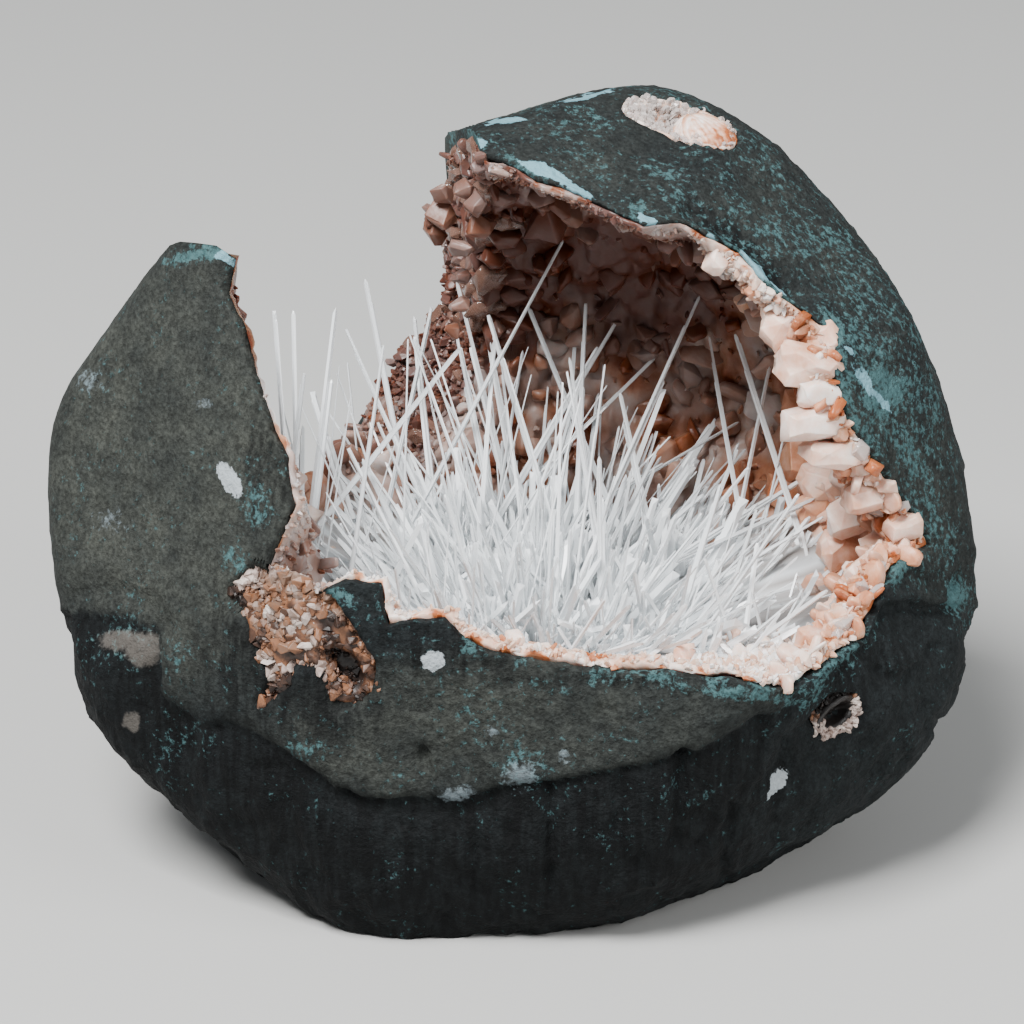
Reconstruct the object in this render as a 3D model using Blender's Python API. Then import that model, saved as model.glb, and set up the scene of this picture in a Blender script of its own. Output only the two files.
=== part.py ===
"""Scolecite geode: a trimmed basalt nodule, open to the front, the upper left and the back left.

The hollow is lined with a crust of stilbite, and a spray of scolecite needles stands on its floor.
All sizes are in millimetres, measured from the middle of the nodule in the leaning view from which
the piece shows best: across to the right, up the view, and towards the eye.
"""
import math
import random

import bpy
import bmesh
import numpy as np
from mathutils import Vector, noise

MM = 0.001
GAP = 0.3                      # clear space between touching pieces

# The leaning view: the eye stands in front of the piece, a little above it.
VIEW_LEAN = 22.0               # degrees above the level
EYE_DISTANCE = 520.0

# The nodule, from its middle.
MIDDLE_HEIGHT = 45.0           # the middle stands this high above the flat base
MIDDLE_ASIDE = (3.50, -2.25)   # and this far right and back of the origin, which is under the box's middle
FACE_SHARPNESS = 36            # higher is crisper between the dressed faces
LUMP_HEIGHT = 0.5
LUMP_LENGTH = 17.0

# Each dressed face: the way it looks (degrees anticlockwise from the right), how far it leans
# towards the eye (degrees), and its distance from the middle.
OUTER_FACES = [
    (145, 6, 52.5), (165, 6, 59.5), (180, 6, 59.8), (194, 6, 59.9), (227, 6, 59.8), (235, 6, 59.4),
    (291, 10, 53.6), (303, 8, 54.2), (323, 6, 55.8), (344, 6, 54.6), (6, 6, 50.5), (18, 6, 48.6),
    (31, 6, 47.4), (40, 6, 47.0), (54, 6, 48.2), (74, 6, 48.0), (106, 6, 41.6),
]
FRONT_FACES = [
    (270, 48, 47.8), (232, 40, 53.0), (0, 88, 31.4), (175, 52, 41.4), (215, 52, 45.5), (80, 39, 36.4),
    (5, 39, 38.6), (45, 39, 37.0), (315, 44, 45.5), (262, 72, 36.5),
]
BACK_FACES = [
    (0, -88, 38.0), (60, -42, 44.0), (0, -45, 44.5), (180, -45, 47.0), (125, -42, 43.0), (215, -40, 50.0),
    (330, -40, 49.0),
]

# The break line round the opening, in the leaning view: across, up, and whether it lies on the
# near side of the nodule (1) or on its far side (-1). It runs clockwise from the hood's left end.
BREAK_LINE = [
    (-10.2, 38.2, 1), (-7.6, 37.9, 1), (-4.2, 37.0, 1), (-1.0, 34.9, 1), (1.9, 34.3, 1), (4.7, 33.0, 1),
    (7.1, 31.6, 1), (9.5, 30.8, 1), (12.0, 29.6, 1), (14.4, 28.6, 1), (16.4, 30.0, 1), (19.7, 28.2, 1),
    (23.2, 26.4, 1), (24.2, 22.0, 1), (27.4, 21.9, 1), (31.9, 18.8, 1), (35.4, 15.6, 1), (34.5, 12.2, 1),
    (35.0, 8.2, 1), (37.2, 5.6, 1), (38.2, 0.1, 1), (41.0, -3.4, 1), (44.9, -6.4, 1), (46.7, -8.9, 1),
    (42.2, -11.6, 1), (40.2, -15.8, 1), (38.2, -20.5, 1), (34.3, -23.0, 1), (29.4, -26.4, 1),
    (23.5, -25.4, 1), (13.8, -24.4, 1), (8.8, -24.4, 1), (4.1, -24.0, 1), (-2.8, -22.6, 1),
    (-6.5, -22.1, 1), (-9.7, -20.4, 1), (-12.2, -18.0, 1), (-15.5, -18.2, 1), (-17.9, -20.0, 1),
    (-19.1, -18.7, 1), (-19.8, -13.8, 1), (-24.2, -13.1, 1), (-28.0, -15.1, 1), (-31.2, -14.6, 1),
    (-34.0, -12.6, 1), (-34.0, -9.4, 1), (-32.3, -6.5, 1), (-30.5, -4.3, 1), (-31.2, -1.8, 1),
    (-31.4, 1.6, 1), (-33.4, 5.5, 1), (-35.4, 11.6, 1), (-37.1, 17.8, 1), (-39.5, 21.6, 1),
    (-38.5, 26.8, 1), (-44.6, 25.4, -1), (-40.5, 15.0, -1), (-31.0, 6.0, -1), (-23.4, 4.8, -1),
    (-18.6, 12.6, -1), (-15.0, 15.6, -1), (-12.2, 18.8, -1), (-11.5, 21.7, -1), (-11.5, 24.7, -1),
    (-10.9, 27.6, -1), (-12.0, 31.8, -1), (-11.8, 35.4, -1),
]
OPENING_AXIS = (-0.10, 0.49, 0.87)   # the way the opening faces: across, up, towards the eye
WIDEST_STEP = math.radians(9.0)      # between the meridians of the nodule
NARROWEST_STEP = math.radians(2.5)

# The low place in the far wall, behind the pointed lobe: its outline in the leaning view.
GAP_OUTLINE = [
    (-56.0, 26.0), (-52.0, 12.0), (-42.0, 1.0), (-34.0, -5.0), (-27.8, -1.2), (-21.8, 5.6), (-18.0, 12.6),
    (-24.0, 34.0), (-46.0, 36.0),
]
GAP_DEPTH = (-80.0, 2.0)

# The hollow, an uneven ellipsoid, and how its wall flares out to the break line.
HOLLOW_MIDDLE = (1.0, 4.0, 1.0)
HOLLOW_HALF = (42.0, 31.5, 31.0)
HOLLOW_LUMP = 1.6
RIM_THICKNESS = 0.9
FLARE_ANGLE = 11.0
LEAST_WALL = 4.0

# The stilbite crust.
CRUST_THICKNESS = 3.4
CRUST_RIM_THICKNESS = 2.6
CRUST_LUMP = 0.8

OUTER_ROWS = [0, 0.06, 0.14, 0.24, 0.35, 0.48, 0.62, 0.76, 0.89, 1]
INNER_ROWS = [0, 0.06, 0.15, 0.26, 0.38, 0.51, 0.65, 0.80, 1]

# Stilbite crystals along the break: across, up, length, width. They stand on the crust's inner face.
BREAK_CRYSTALS = [
    (29.0, 15.5, 5.5, 4.6), (31.0, 12.0, 6.5, 5.4), (32.5, 8.6, 6.2, 5.0),
    (31.2, 4.6, 6.6, 5.4), (34.8, 3.2, 5.0, 4.6), (33.4, 0.4, 6.0, 4.8), (36.4, -1.0, 4.8, 4.2),
    (35.0, -3.8, 5.8, 4.6), (38.6, -4.4, 4.6, 4.0), (38.0, -8.0, 5.4, 4.4), (41.8, -7.2, 4.6, 3.8),
    (40.0, -11.0, 5.2, 4.4), (36.6, -11.6, 5.0, 4.2), (38.0, -14.6, 5.0, 4.2), (35.2, -16.6, 4.6, 4.0),
    (33.4, -19.8, 4.2, 3.8), (22.0, 24.0, 4.4, 4.0), (25.0, 19.4, 4.6, 4.2), (18.0, 26.2, 4.0, 3.6),
    (13.0, 25.4, 3.6, 3.6), (8.0, 27.8, 3.6, 3.4), (3.4, 30.0, 3.8, 3.6), (-1.0, 31.2, 4.0, 3.8),
    (-5.4, 32.8, 4.2, 4.0), (27.5, 19.0, 4.6, 3.8),
]

BLOCK_ROOT_DEPTH = 1.6
BLOCK_ROOT_SHARE = 0.08
CHISEL_SHARE = 0.35

# The spray of needles. Its foot covers the floor of the hollow.
FLOOR_WAY = (-0.04, -0.93, -0.33)    # from the nodule's middle to the middle of the foot
FOOT_SPREAD = (52.0, 76.0)           # degrees from that way to the foot's edge: front and back, sides
FOOT_HEIGHT = 7.0
FOOT_GAP = 1.0
SPRAY_CENTRE_DEPTH = 9.0             # the needles fan out from a point this far under the foot
NEEDLE_WIDTH = (1.0, 1.7)
SHORT_NEEDLES = 50
SHORT_LENGTH = (13.0, 27.0)
CLEAR_OF_CRUST = 2.3

# The needles that stand out: tip and a lower point on the same line, both across and up,
# and the thickness.
TALL_NEEDLES = [
    (-32.5, 19.1, -33.6, 8.0, 1.1), (-30.2, 19.1, -30.2, 8.0, 1.1), (-25.1, 19.4, -28.2, 9.0, 1.4),
    (-21.6, 22.9, -16.0, -6.0, 1.2), (-23.9, 16.9, -19.0, 6.0, 0.9), (-10.3, 14.5, -27.7, -7.3, 1.7),
    (-15.7, 18.5, -13.0, -6.0, 1.2), (-13.6, 19.6, -17.5, 2.0, 1.0), (-10.6, 22.6, -5.0, 0.0, 1.3),
    (-7.0, 17.2, -4.0, 0.0, 1.1), (-6.8, 18.6, -2.0, 3.0, 1.1), (2.2, 27.6, -5.6, 13.0, 1.0),
    (-2.0, 19.6, 5.2, 2.0, 1.1), (4.9, 20.0, 4.2, 4.0, 1.0), (8.4, 17.5, -2.0, 0.0, 1.1),
    (13.1, 13.4, 1.6, 2.0, 1.2), (14.3, 9.7, 8.0, -7.0, 1.9), (6.4, 9.2, 5.4, 2.0, 1.3),
    (18.6, 21.0, 11.0, 4.0, 1.0), (20.6, 6.0, 15.6, -2.0, 2.0), (19.7, 16.1, 23.6, -6.0, 1.0),
    (22.8, 16.3, 31.0, -9.0, 1.0), (27.2, 13.6, 23.4, -5.0, 1.1), (31.0, -1.0, 19.2, -8.4, 1.2),
    (32.4, -3.4, 19.6, -9.2, 1.2), (31.8, -5.6, 26.0, -13.0, 1.2), (3.6, 15.6, 2.6, 2.0, 1.0),
]

# Pockets in the outside: across, up, half length, half width, depth, and the turn of the length.
POCKETS = {
    "top_vug": (16.2, 41.3, 7.2, 4.8, 2.6, -25.0),
    "left_vein": (-27.6, -22.6, 7.4, 5.2, 3.0, -52.0),
    "right_pocket": (35.2, -29.4, 3.0, 2.4, 2.4, 20.0),
}

# Marks of trimming and small pits: across, up, half length, half width, depth, turn.
MARKS = [
    (0.4, -43.6, 6.0, 0.9, 0.7, 92.0), (16.2, -38.8, 5.4, 0.9, 0.7, 84.0), (22.2, -43.6, 4.2, 0.8, 0.6, 88.0),
    (-52.0, -18.6, 5.6, 1.2, 0.9, 170.0), (43.2, -17.2, 2.6, 0.9, 0.8, 12.0), (22.6, 29.2, 6.4, 1.5, 0.9, -42.0),
    (-14.8, -34.6, 1.2, 0.9, 0.9, 30.0), (50.6, -14.8, 2.6, 1.4, 1.2, 80.0),
]

RANDOM_SEED = 7


def clear_scene():
    for item in list(bpy.data.objects):
        bpy.data.objects.remove(item)


def material(name, colour, roughness, metallic=0.0):
    made = bpy.data.materials.new(name)
    made.use_nodes = True
    shader = made.node_tree.nodes["Principled BSDF"]
    shader.inputs["Base Color"].default_value = (*colour, 1.0)
    shader.inputs["Roughness"].default_value = roughness
    shader.inputs["Metallic"].default_value = metallic
    return made


def to_world(point):
    """Turns a point of the leaning view into the standing frame, in metres."""
    across, up, near = point
    sin, cos = math.sin(math.radians(VIEW_LEAN)), math.cos(math.radians(VIEW_LEAN))
    right, back = MIDDLE_ASIDE
    return Vector((across + right, up * sin - near * cos + back, up * cos + near * sin + MIDDLE_HEIGHT)) * MM


def face_vector(turn, lean, distance):
    turn, lean = math.radians(turn), math.radians(lean)
    way = np.array([math.cos(lean) * math.cos(turn), math.cos(lean) * math.sin(turn), math.sin(lean)])
    return way / distance


FACE_VECTORS = np.array([face_vector(*face) for face in OUTER_FACES + FRONT_FACES + BACK_FACES])
BASE_VECTOR = face_vector(270, -VIEW_LEAN, MIDDLE_HEIGHT)


def unit(vector):
    vector = np.asarray(vector, dtype=float)
    return vector / np.linalg.norm(vector)


def lump(direction, radius, length, shift):
    """A smooth value from -1 to 1 that varies over the given length."""
    return noise.noise(Vector(direction * radius / length) + Vector((shift, 1.7 * shift, -shift)))


def rock_radius(direction):
    """The nodule's outside: dressed faces rounded into each other, and a flat base."""
    towards = np.maximum(FACE_VECTORS @ direction, 0.0)
    radius = (towards ** FACE_SHARPNESS).sum() ** (-1.0 / FACE_SHARPNESS)
    radius += LUMP_HEIGHT * lump(direction, radius, LUMP_LENGTH, 3.1)
    down = BASE_VECTOR @ direction
    return min(radius, 1.0 / down) if down > 0 else radius


def hollow_radius(direction):
    """The hollow's wall: where a ray from the nodule's middle leaves the hollow's ellipsoid."""
    half = np.array(HOLLOW_HALF)
    offset = -np.array(HOLLOW_MIDDLE) / half
    way = direction / half
    a, b, c = way @ way, 2 * way @ offset, offset @ offset - 1
    radius = (-b + math.sqrt(b * b - 4 * a * c)) / (2 * a)
    return radius + HOLLOW_LUMP * lump(direction, radius, 14.0, 9.4)


def on_rock(across, up, side):
    """The point of the nodule's surface that the eye sees at this place, on its near or far side."""
    eye = np.array([0.0, 0.0, EYE_DISTANCE])
    ray = np.array([across, up, 0.0]) - eye
    reach = np.linspace(0.84, 1.16, 1281)
    points = eye + reach[:, None] * ray
    inside = [k for k, p in enumerate(points) if np.linalg.norm(p) <= rock_radius(unit(p))]
    return points[inside[0]] if side > 0 else points[inside[-1]]


def axes_about(axis):
    axis = unit(axis)
    first = unit(np.cross(axis, (0.1, 0.2, 1.0)))
    return axis, first, np.cross(axis, first)


AXIS, AXIS_FIRST, AXIS_SECOND = axes_about(OPENING_AXIS)


def direction_at(turn, fall):
    """The direction at this turn round the opening's axis and this angle away from it."""
    side = AXIS_FIRST * math.cos(turn) + AXIS_SECOND * math.sin(turn)
    return AXIS * math.cos(fall) + side * math.sin(fall)


def break_meridians():
    """Turn and fall of the break line at each meridian, in order round the opening.

    Points that would turn back behind the one before are left out.
    """
    kept = []
    for across, up, side in reversed(BREAK_LINE):
        way = unit(on_rock(across, up, side))
        turn = math.atan2(way @ AXIS_SECOND, way @ AXIS_FIRST)
        ahead = (turn - kept[-1][0] + math.pi) % math.tau - math.pi if kept else 1.0
        to_start = (kept[0][0] - turn) % math.tau if len(kept) > 30 else math.pi
        if ahead > NARROWEST_STEP and NARROWEST_STEP < to_start:
            kept.append((turn, math.acos(way @ AXIS)))
    filled = []
    for (turn, fall), (next_turn, next_fall) in zip(kept, kept[1:] + kept[:1]):
        gap = (next_turn - turn) % math.tau
        pieces = max(1, math.ceil(gap / WIDEST_STEP))
        for k in range(pieces):
            filled.append(((turn + gap * k / pieces) % math.tau, fall + (next_fall - fall) * k / pieces))
    first = min(range(len(filled)), key=lambda k: filled[k][0])
    return filled[first:] + filled[:first]


MERIDIANS = break_meridians()


def fall_below(rim_fall, share):
    return rim_fall + (math.pi - rim_fall) * share


def wall_radius(direction, below_rim):
    """The rock's inner wall: thin at the break line, then the hollow's own wall."""
    outside = rock_radius(direction)
    hollow = min(hollow_radius(direction), outside - LEAST_WALL)
    at_rim = outside - RIM_THICKNESS
    blend = math.exp(-math.degrees(below_rim) / FLARE_ANGLE)
    return hollow + (at_rim - hollow) * blend


def crust_radius(direction, below_rim):
    """The crust's inner face, which the crystals stand on."""
    outer = wall_radius(direction, below_rim) - GAP
    blend = math.exp(-math.degrees(below_rim) / FLARE_ANGLE)
    thickness = CRUST_THICKNESS + (CRUST_RIM_THICKNESS - CRUST_THICKNESS) * blend
    thickness += CRUST_LUMP * lump(direction, outer, 5.5, 4.4) * (1 - floor_share(direction))
    return outer - thickness


FLOOR, FLOOR_SIDE, FLOOR_FRONT = axes_about(FLOOR_WAY)


def foot_edge(turn):
    """Degrees from the foot's middle to its edge, wider to the sides."""
    narrow, wide = FOOT_SPREAD
    sideways = abs((FLOOR_SIDE * math.cos(turn) + FLOOR_FRONT * math.sin(turn))[0])
    return narrow + (wide - narrow) * sideways ** 2


def floor_share(direction):
    """1 under the spray's foot, fading to 0 a little way outside it."""
    angle = math.degrees(math.acos(np.clip(direction @ FLOOR, -1, 1)))
    turn = math.atan2(direction @ FLOOR_FRONT, direction @ FLOOR_SIDE)
    return float(np.clip((foot_edge(turn) + 14 - angle) / 8, 0, 1))


def below_break(direction):
    """How far a direction lies below the break line, as an angle."""
    turn = math.atan2(direction @ AXIS_SECOND, direction @ AXIS_FIRST) % math.tau
    turns = [t for t, f in MERIDIANS]
    falls = [f for t, f in MERIDIANS]
    return math.acos(np.clip(direction @ AXIS, -1, 1)) - np.interp(turn, turns, falls, period=math.tau)


def foot_point(turn, angle, height):
    """A point over the floor, from the foot's middle axis, this high above the crust."""
    side = FLOOR_SIDE * math.cos(turn) + FLOOR_FRONT * math.sin(turn)
    angle = math.radians(angle)
    way = FLOOR * math.cos(angle) + side * math.sin(angle)
    return way * (crust_radius(way, below_break(way)) - FOOT_GAP - height)


def foot_height(turn, angle):
    """The foot is a low mound, thin at its edge."""
    share = min(angle / foot_edge(turn), 1.0)
    return 0.6 + FOOT_HEIGHT * (1 - share ** 2) ** 0.8


def shell_object(name, outer_rows, outer_radius, inner_radius, look):
    """A closed shell between two surfaces round the middle, open at the break line."""
    mesh = bmesh.new()
    rings = []
    for rows, radius_at in ((outer_rows, outer_radius), (INNER_ROWS, inner_radius)):
        for share in rows[:-1]:
            ring = []
            for turn, rim_fall in MERIDIANS:
                fall = fall_below(rim_fall, share)
                way = direction_at(turn, fall)
                ring.append(mesh.verts.new(to_world(way * radius_at(way, fall - rim_fall))))
            rings.append(ring)
        rings.append(mesh.verts.new(to_world(-AXIS * radius_at(-AXIS, math.pi / 2))))
    outer_pole = rings.pop(len(outer_rows) - 1)
    inner_pole = rings.pop()
    outer = rings[:len(outer_rows) - 1]
    inner = rings[len(outer_rows) - 1:]
    count = len(MERIDIANS)
    for rings_of_side, pole in ((outer, outer_pole), (inner, inner_pole)):
        for ring, next_ring in zip(rings_of_side, rings_of_side[1:]):
            for k in range(count):
                m = (k + 1) % count
                mesh.faces.new((ring[k], ring[m], next_ring[m]))
                mesh.faces.new((ring[k], next_ring[m], next_ring[k]))
        for k in range(count):
            mesh.faces.new((rings_of_side[-1][k], rings_of_side[-1][(k + 1) % count], pole))
    for k in range(count):
        m = (k + 1) % count
        mesh.faces.new((outer[0][m], outer[0][k], inner[0][k], inner[0][m]))
    return finish_object(name, mesh, look)


def face_outwards(mesh):
    """Triangulates a closed mesh and turns its faces to look out."""
    bmesh.ops.triangulate(mesh, faces=mesh.faces)
    bmesh.ops.recalc_face_normals(mesh, faces=mesh.faces)
    if mesh.calc_volume(signed=True) < 0:
        bmesh.ops.reverse_faces(mesh, faces=mesh.faces)


def finish_object(name, mesh, look=None):
    face_outwards(mesh)
    data = bpy.data.meshes.new(name)
    mesh.to_mesh(data)
    mesh.free()
    made = bpy.data.objects.new(name, data)
    bpy.context.scene.collection.objects.link(made)
    if look:
        data.materials.append(look)
    return made


def cutter(name, mesh):
    made = finish_object(name, mesh)
    made.hide_render = True
    made.display_type = "WIRE"
    return made


def cut(target, tool):
    step = target.modifiers.new("cut " + tool.name, "BOOLEAN")
    step.operation = "DIFFERENCE"
    step.solver = "EXACT"
    step.object = tool


def gap_cutter():
    """A prism along the lines of sight, through the far wall only."""
    mesh = bmesh.new()
    eye = np.array([0.0, 0.0, EYE_DISTANCE])
    rings = []
    for depth in GAP_DEPTH:
        ring = []
        for across, up in GAP_OUTLINE:
            ray = np.array([across, up, 0.0]) - eye
            ring.append(mesh.verts.new(to_world(eye + ray * (EYE_DISTANCE - depth) / EYE_DISTANCE)))
        rings.append(ring)
    far, near = rings
    mesh.faces.new(far)
    mesh.faces.new(near)
    for k in range(len(far)):
        m = (k + 1) % len(far)
        mesh.faces.new((far[k], far[m], near[m], near[k]))
    return cutter("gap_cutter", mesh)


def basalt_shell(look):
    return shell_object("basalt_shell", OUTER_ROWS, lambda way, below: rock_radius(way), wall_radius, look)


def stilbite_crust(look):
    return shell_object(
        "stilbite_crust", INNER_ROWS, lambda way, below: wall_radius(way, below) - GAP, crust_radius, look)


def prism(mesh, root, tip, width, roll, root_share):
    """A four-sided prism with a chisel end. Its corners are flattened to a rhomb."""
    along = unit(tip - root)
    side = unit(np.cross(along, (math.cos(roll), math.sin(roll), 0.37)))
    other = np.cross(along, side)
    half = (0.5 * width, 0.38 * width)
    corners = [side * half[0], other * half[1], -side * half[0], -other * half[1]]
    low = [mesh.verts.new(to_world(root + c * root_share)) for c in corners]
    shoulder = tip - along * width * 0.7
    high = [mesh.verts.new(to_world(shoulder + c)) for c in corners]
    edge = [mesh.verts.new(to_world(tip + c * CHISEL_SHARE)) for c in (corners[0], corners[2])]
    mesh.faces.new(low[::-1])
    for k in range(4):
        mesh.faces.new((low[k], low[(k + 1) % 4], high[(k + 1) % 4], high[k]))
    mesh.faces.new((high[0], high[1], edge[0]))
    mesh.faces.new((high[1], high[2], edge[1]))
    mesh.faces.new((high[1], edge[1], edge[0]))
    mesh.faces.new((high[2], high[3], edge[1]))
    mesh.faces.new((high[3], high[0], edge[0]))
    mesh.faces.new((high[3], edge[0], edge[1]))


def on_crust(across, up):
    """Where the line of sight meets the crust's inner face, through the opening."""
    eye = np.array([0.0, 0.0, EYE_DISTANCE])
    ray = np.array([across, up, 0.0]) - eye
    for reach in np.linspace(0.92, 1.12, 501):
        point = eye + reach * ray
        way = unit(point)
        below = below_break(way)
        if below > math.radians(1.5) and np.linalg.norm(point) >= crust_radius(way, below):
            return point
    return None


def break_crystals():
    """Blocky stilbite crystals: root, tip and width of each."""
    chance = random.Random(RANDOM_SEED)
    found = []
    for across, up, length, width in BREAK_CRYSTALS:
        at = on_crust(across, up)
        if at is None:
            print("no crust behind the crystal at", across, up)
            continue
        inward = unit(-at + np.array(HOLLOW_MIDDLE) + np.array([chance.uniform(-14, 14) for k in range(3)]))
        outward = unit(at)
        found.append((at + outward * BLOCK_ROOT_DEPTH, at + inward * length * 0.8, width))
    return found


def in_low_place(point):
    """Whether a point lies in the low place of the far wall, where there is no rock."""
    if point[2] > GAP_DEPTH[1]:
        return False
    across, up = point[:2] * EYE_DISTANCE / (EYE_DISTANCE - point[2])
    inside = False
    for (a, b), (c, d) in zip(GAP_OUTLINE, GAP_OUTLINE[1:] + GAP_OUTLINE[:1]):
        if (b > up) != (d > up) and across < (c - a) * (up - b) / (d - b) + a:
            inside = not inside
    return inside


def is_clear(root, tip, blocks):
    """Whether a needle keeps clear of the crust and its crystals."""
    for share in np.linspace(0.2, 1.0, 13):
        point = root + (tip - root) * share
        if in_low_place(point):
            continue
        way = unit(point)
        below = below_break(way)
        reach = np.linalg.norm(point)
        if below > math.radians(-3) and reach > crust_radius(way, max(below, 0)) - CLEAR_OF_CRUST:
            return False
        for low, high, width in blocks:
            middle = (low + high) / 2
            if np.linalg.norm(point - middle) < width * 0.5 + np.linalg.norm(high - low) * 0.5 + 1.4:
                return False
    return True


def tall_needle(tip_across, tip_up, low_across, low_up, width, blocks, chance):
    """Root and tip of a tall needle, placed in depth so that it fans out and touches nothing."""
    eye = np.array([0.0, 0.0, EYE_DISTANCE])
    low = np.array([low_across, low_up])
    down = unit(low - np.array([tip_across, tip_up]))
    options = []
    for step in np.arange(0, 30, 3.0):
        across, up = low + down * step
        for near in np.arange(-24, 25, 1.0):
            root = eye + (np.array([across, up, 0.0]) - eye) * (EYE_DISTANCE - near) / EYE_DISTANCE
            way = unit(root)
            turn = math.atan2(way @ FLOOR_FRONT, way @ FLOOR_SIDE)
            angle = math.degrees(math.acos(np.clip(way @ FLOOR, -1, 1)))
            if angle > foot_edge(turn) - 3:
                continue
            depth = crust_radius(way, max(below_break(way), 0)) - FOOT_GAP - np.linalg.norm(root)
            if not 0.3 < depth < foot_height(turn, angle) * 0.75:
                continue
            for lean in (0.0, 4.0, -4.0, 8.0, -8.0, 13.0, -13.0):
                tip_near = near * 1.15 + lean
                tip = np.array([tip_across, tip_up, 0.0])
                tip = eye + (tip - eye) * (EYE_DISTANCE - tip_near) / EYE_DISTANCE
                if is_clear(root, tip, blocks):
                    options.append((abs(lean) + 0.5 * step + 0.1 * abs(near), tuple(root), tuple(tip)))
    if not options:
        return None
    cost, root, tip = min(options)
    return np.array(root), np.array(tip), width


def short_needles(blocks, chance):
    """Shorter needles that fan out from under the foot."""
    found = []
    centre = FLOOR * (crust_radius(FLOOR, math.pi / 2) + SPRAY_CENTRE_DEPTH)
    golden = math.pi * (3 - math.sqrt(5))
    tries = 0
    while len(found) < SHORT_NEEDLES and tries < SHORT_NEEDLES * 6:
        tries += 1
        turn = tries * golden
        angle = foot_edge(turn) * 0.84 * math.sqrt((tries % SHORT_NEEDLES + 0.5) / SHORT_NEEDLES)
        root = foot_point(turn, angle, foot_height(turn, angle) * 0.45)
        spread = np.array([chance.uniform(-0.22, 0.22) for k in range(3)])
        way = unit(unit(root - centre) + spread)
        tip = root + way * chance.uniform(*SHORT_LENGTH)
        if is_clear(root, tip, blocks):
            found.append((root, tip, chance.uniform(*NEEDLE_WIDTH)))
    return found


def foot_mesh():
    """The grown-together lower part of the spray, which fits the crust's bowl with a gap."""
    mesh = bmesh.new()
    segments, rings = 22, 5
    under, over = [], []
    for side, store in ((0, under), (1, over)):
        for ring in range(1, rings + 1):
            row = []
            for k in range(segments):
                turn = math.tau * k / segments
                angle = foot_edge(turn) * ring / rings
                height = side * (foot_height(turn, angle) if ring < rings else 0.5)
                row.append(mesh.verts.new(to_world(foot_point(turn, angle, height))))
            store.append(row)
    for store, height in ((under, 0.0), (over, foot_height(0, 0))):
        middle = mesh.verts.new(to_world(foot_point(0, 0, height)))
        for k in range(segments):
            mesh.faces.new((middle, store[0][k], store[0][(k + 1) % segments]))
        for row, next_row in zip(store, store[1:]):
            for k in range(segments):
                m = (k + 1) % segments
                mesh.faces.new((row[k], row[m], next_row[m], next_row[k]))
    for k in range(segments):
        m = (k + 1) % segments
        mesh.faces.new((under[-1][k], under[-1][m], over[-1][m], over[-1][k]))
    return mesh


def joined_prisms(name, prisms, root_share, seed):
    chance = random.Random(seed)
    mesh = bmesh.new()
    for root, tip, width in prisms:
        prism(mesh, root, tip, width, chance.uniform(0, math.tau), root_share)
    return cutter(name, mesh)


def grow(target, crystals):
    step = target.modifiers.new("grow " + crystals.name, "BOOLEAN")
    step.operation = "UNION"
    step.solver = "EXACT"
    step.use_self = True
    step.object = crystals


def scolecite_spray(look, blocks):
    chance = random.Random(RANDOM_SEED + 1)
    needles = []
    for numbers in TALL_NEEDLES:
        found = tall_needle(*numbers, blocks, chance)
        if found is None:
            print("no clear place for the needle", numbers)
        else:
            needles.append(found)
    needles += short_needles(blocks, chance)
    spray = finish_object("scolecite_spray", foot_mesh(), look)
    grow(spray, joined_prisms("needles", needles, 1.0, RANDOM_SEED))
    return spray


def bump_mesh(across, up, half_length, half_width, depth, turn, shrink, fill):
    """A flattened ball set in the rock's face. A filling is cut down to the rock's own level."""
    at = on_rock(across, up, 1)
    way = unit(at)
    outward = unit(rock_normal(way))
    length_way = np.array([math.cos(math.radians(turn)), math.sin(math.radians(turn)), 0.0])
    length_way = unit(length_way - outward * (length_way @ outward))
    width_way = np.cross(outward, length_way)
    mesh = bmesh.new()
    bmesh.ops.create_icosphere(mesh, subdivisions=2 if fill or half_length > 2.9 else 1, radius=1.0)
    crown = depth * 0.35 if fill else depth * 0.35 + 1.2
    for vert in mesh.verts:
        x, y, z = vert.co
        height = z * (depth - shrink) if z < 0 else z * crown
        ruffle = 0.35 * noise.noise(Vector((x, y, z)) * 3.0) if fill and z > 0.2 else 0.0
        point = at + length_way * x * (half_length - shrink) + width_way * y * (half_width - shrink)
        vert.co = to_world(point + outward * (height + ruffle))
    return mesh


def rock_normal(way):
    """The outward direction of the rock's face, from points a little apart."""
    axis, first, second = axes_about(way)
    step = 0.04
    spots = [unit(way + step * side) for side in (first, second, -first, -second)]
    a, b, c, d = [spot * rock_radius(spot) for spot in spots]
    normal = np.cross(a - c, b - d)
    return normal if normal @ way > 0 else -normal


def main():
    clear_scene()
    basalt = material("basalt", (0.05, 0.055, 0.05), 0.85)
    stilbite = material("stilbite", (0.78, 0.52, 0.42), 0.35)
    scolecite = material("scolecite", (0.9, 0.92, 0.94), 0.2)
    shell = basalt_shell(basalt)
    crust = stilbite_crust(stilbite)
    low_place = gap_cutter()
    cut(shell, low_place)
    cut(crust, low_place)
    blocks = break_crystals()
    grow(crust, joined_prisms("blocks", blocks, BLOCK_ROOT_SHARE, RANDOM_SEED + 2))
    scolecite_spray(scolecite, blocks)
    for name, numbers in POCKETS.items():
        cut(shell, cutter(name + "_hole", bump_mesh(*numbers, 0.0, False)))
        finish_object(name, bump_mesh(*numbers, GAP, True), stilbite)
    for k, numbers in enumerate(MARKS):
        cut(shell, cutter("mark_%d" % k, bump_mesh(*numbers, 0.0, False)))


main()
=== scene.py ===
"""Looks of the scolecite geode: a basalt nodule lined with stilbite, with a spray of scolecite needles.

Shapes are worked out in millimetres from the middle of the nodule, in the leaning view from which
the piece shows best: across to the right, up the view, and near, towards the eye.
"""
import math
from collections import namedtuple

import bmesh
import bpy
import numpy as np
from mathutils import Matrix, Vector, noise

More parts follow.
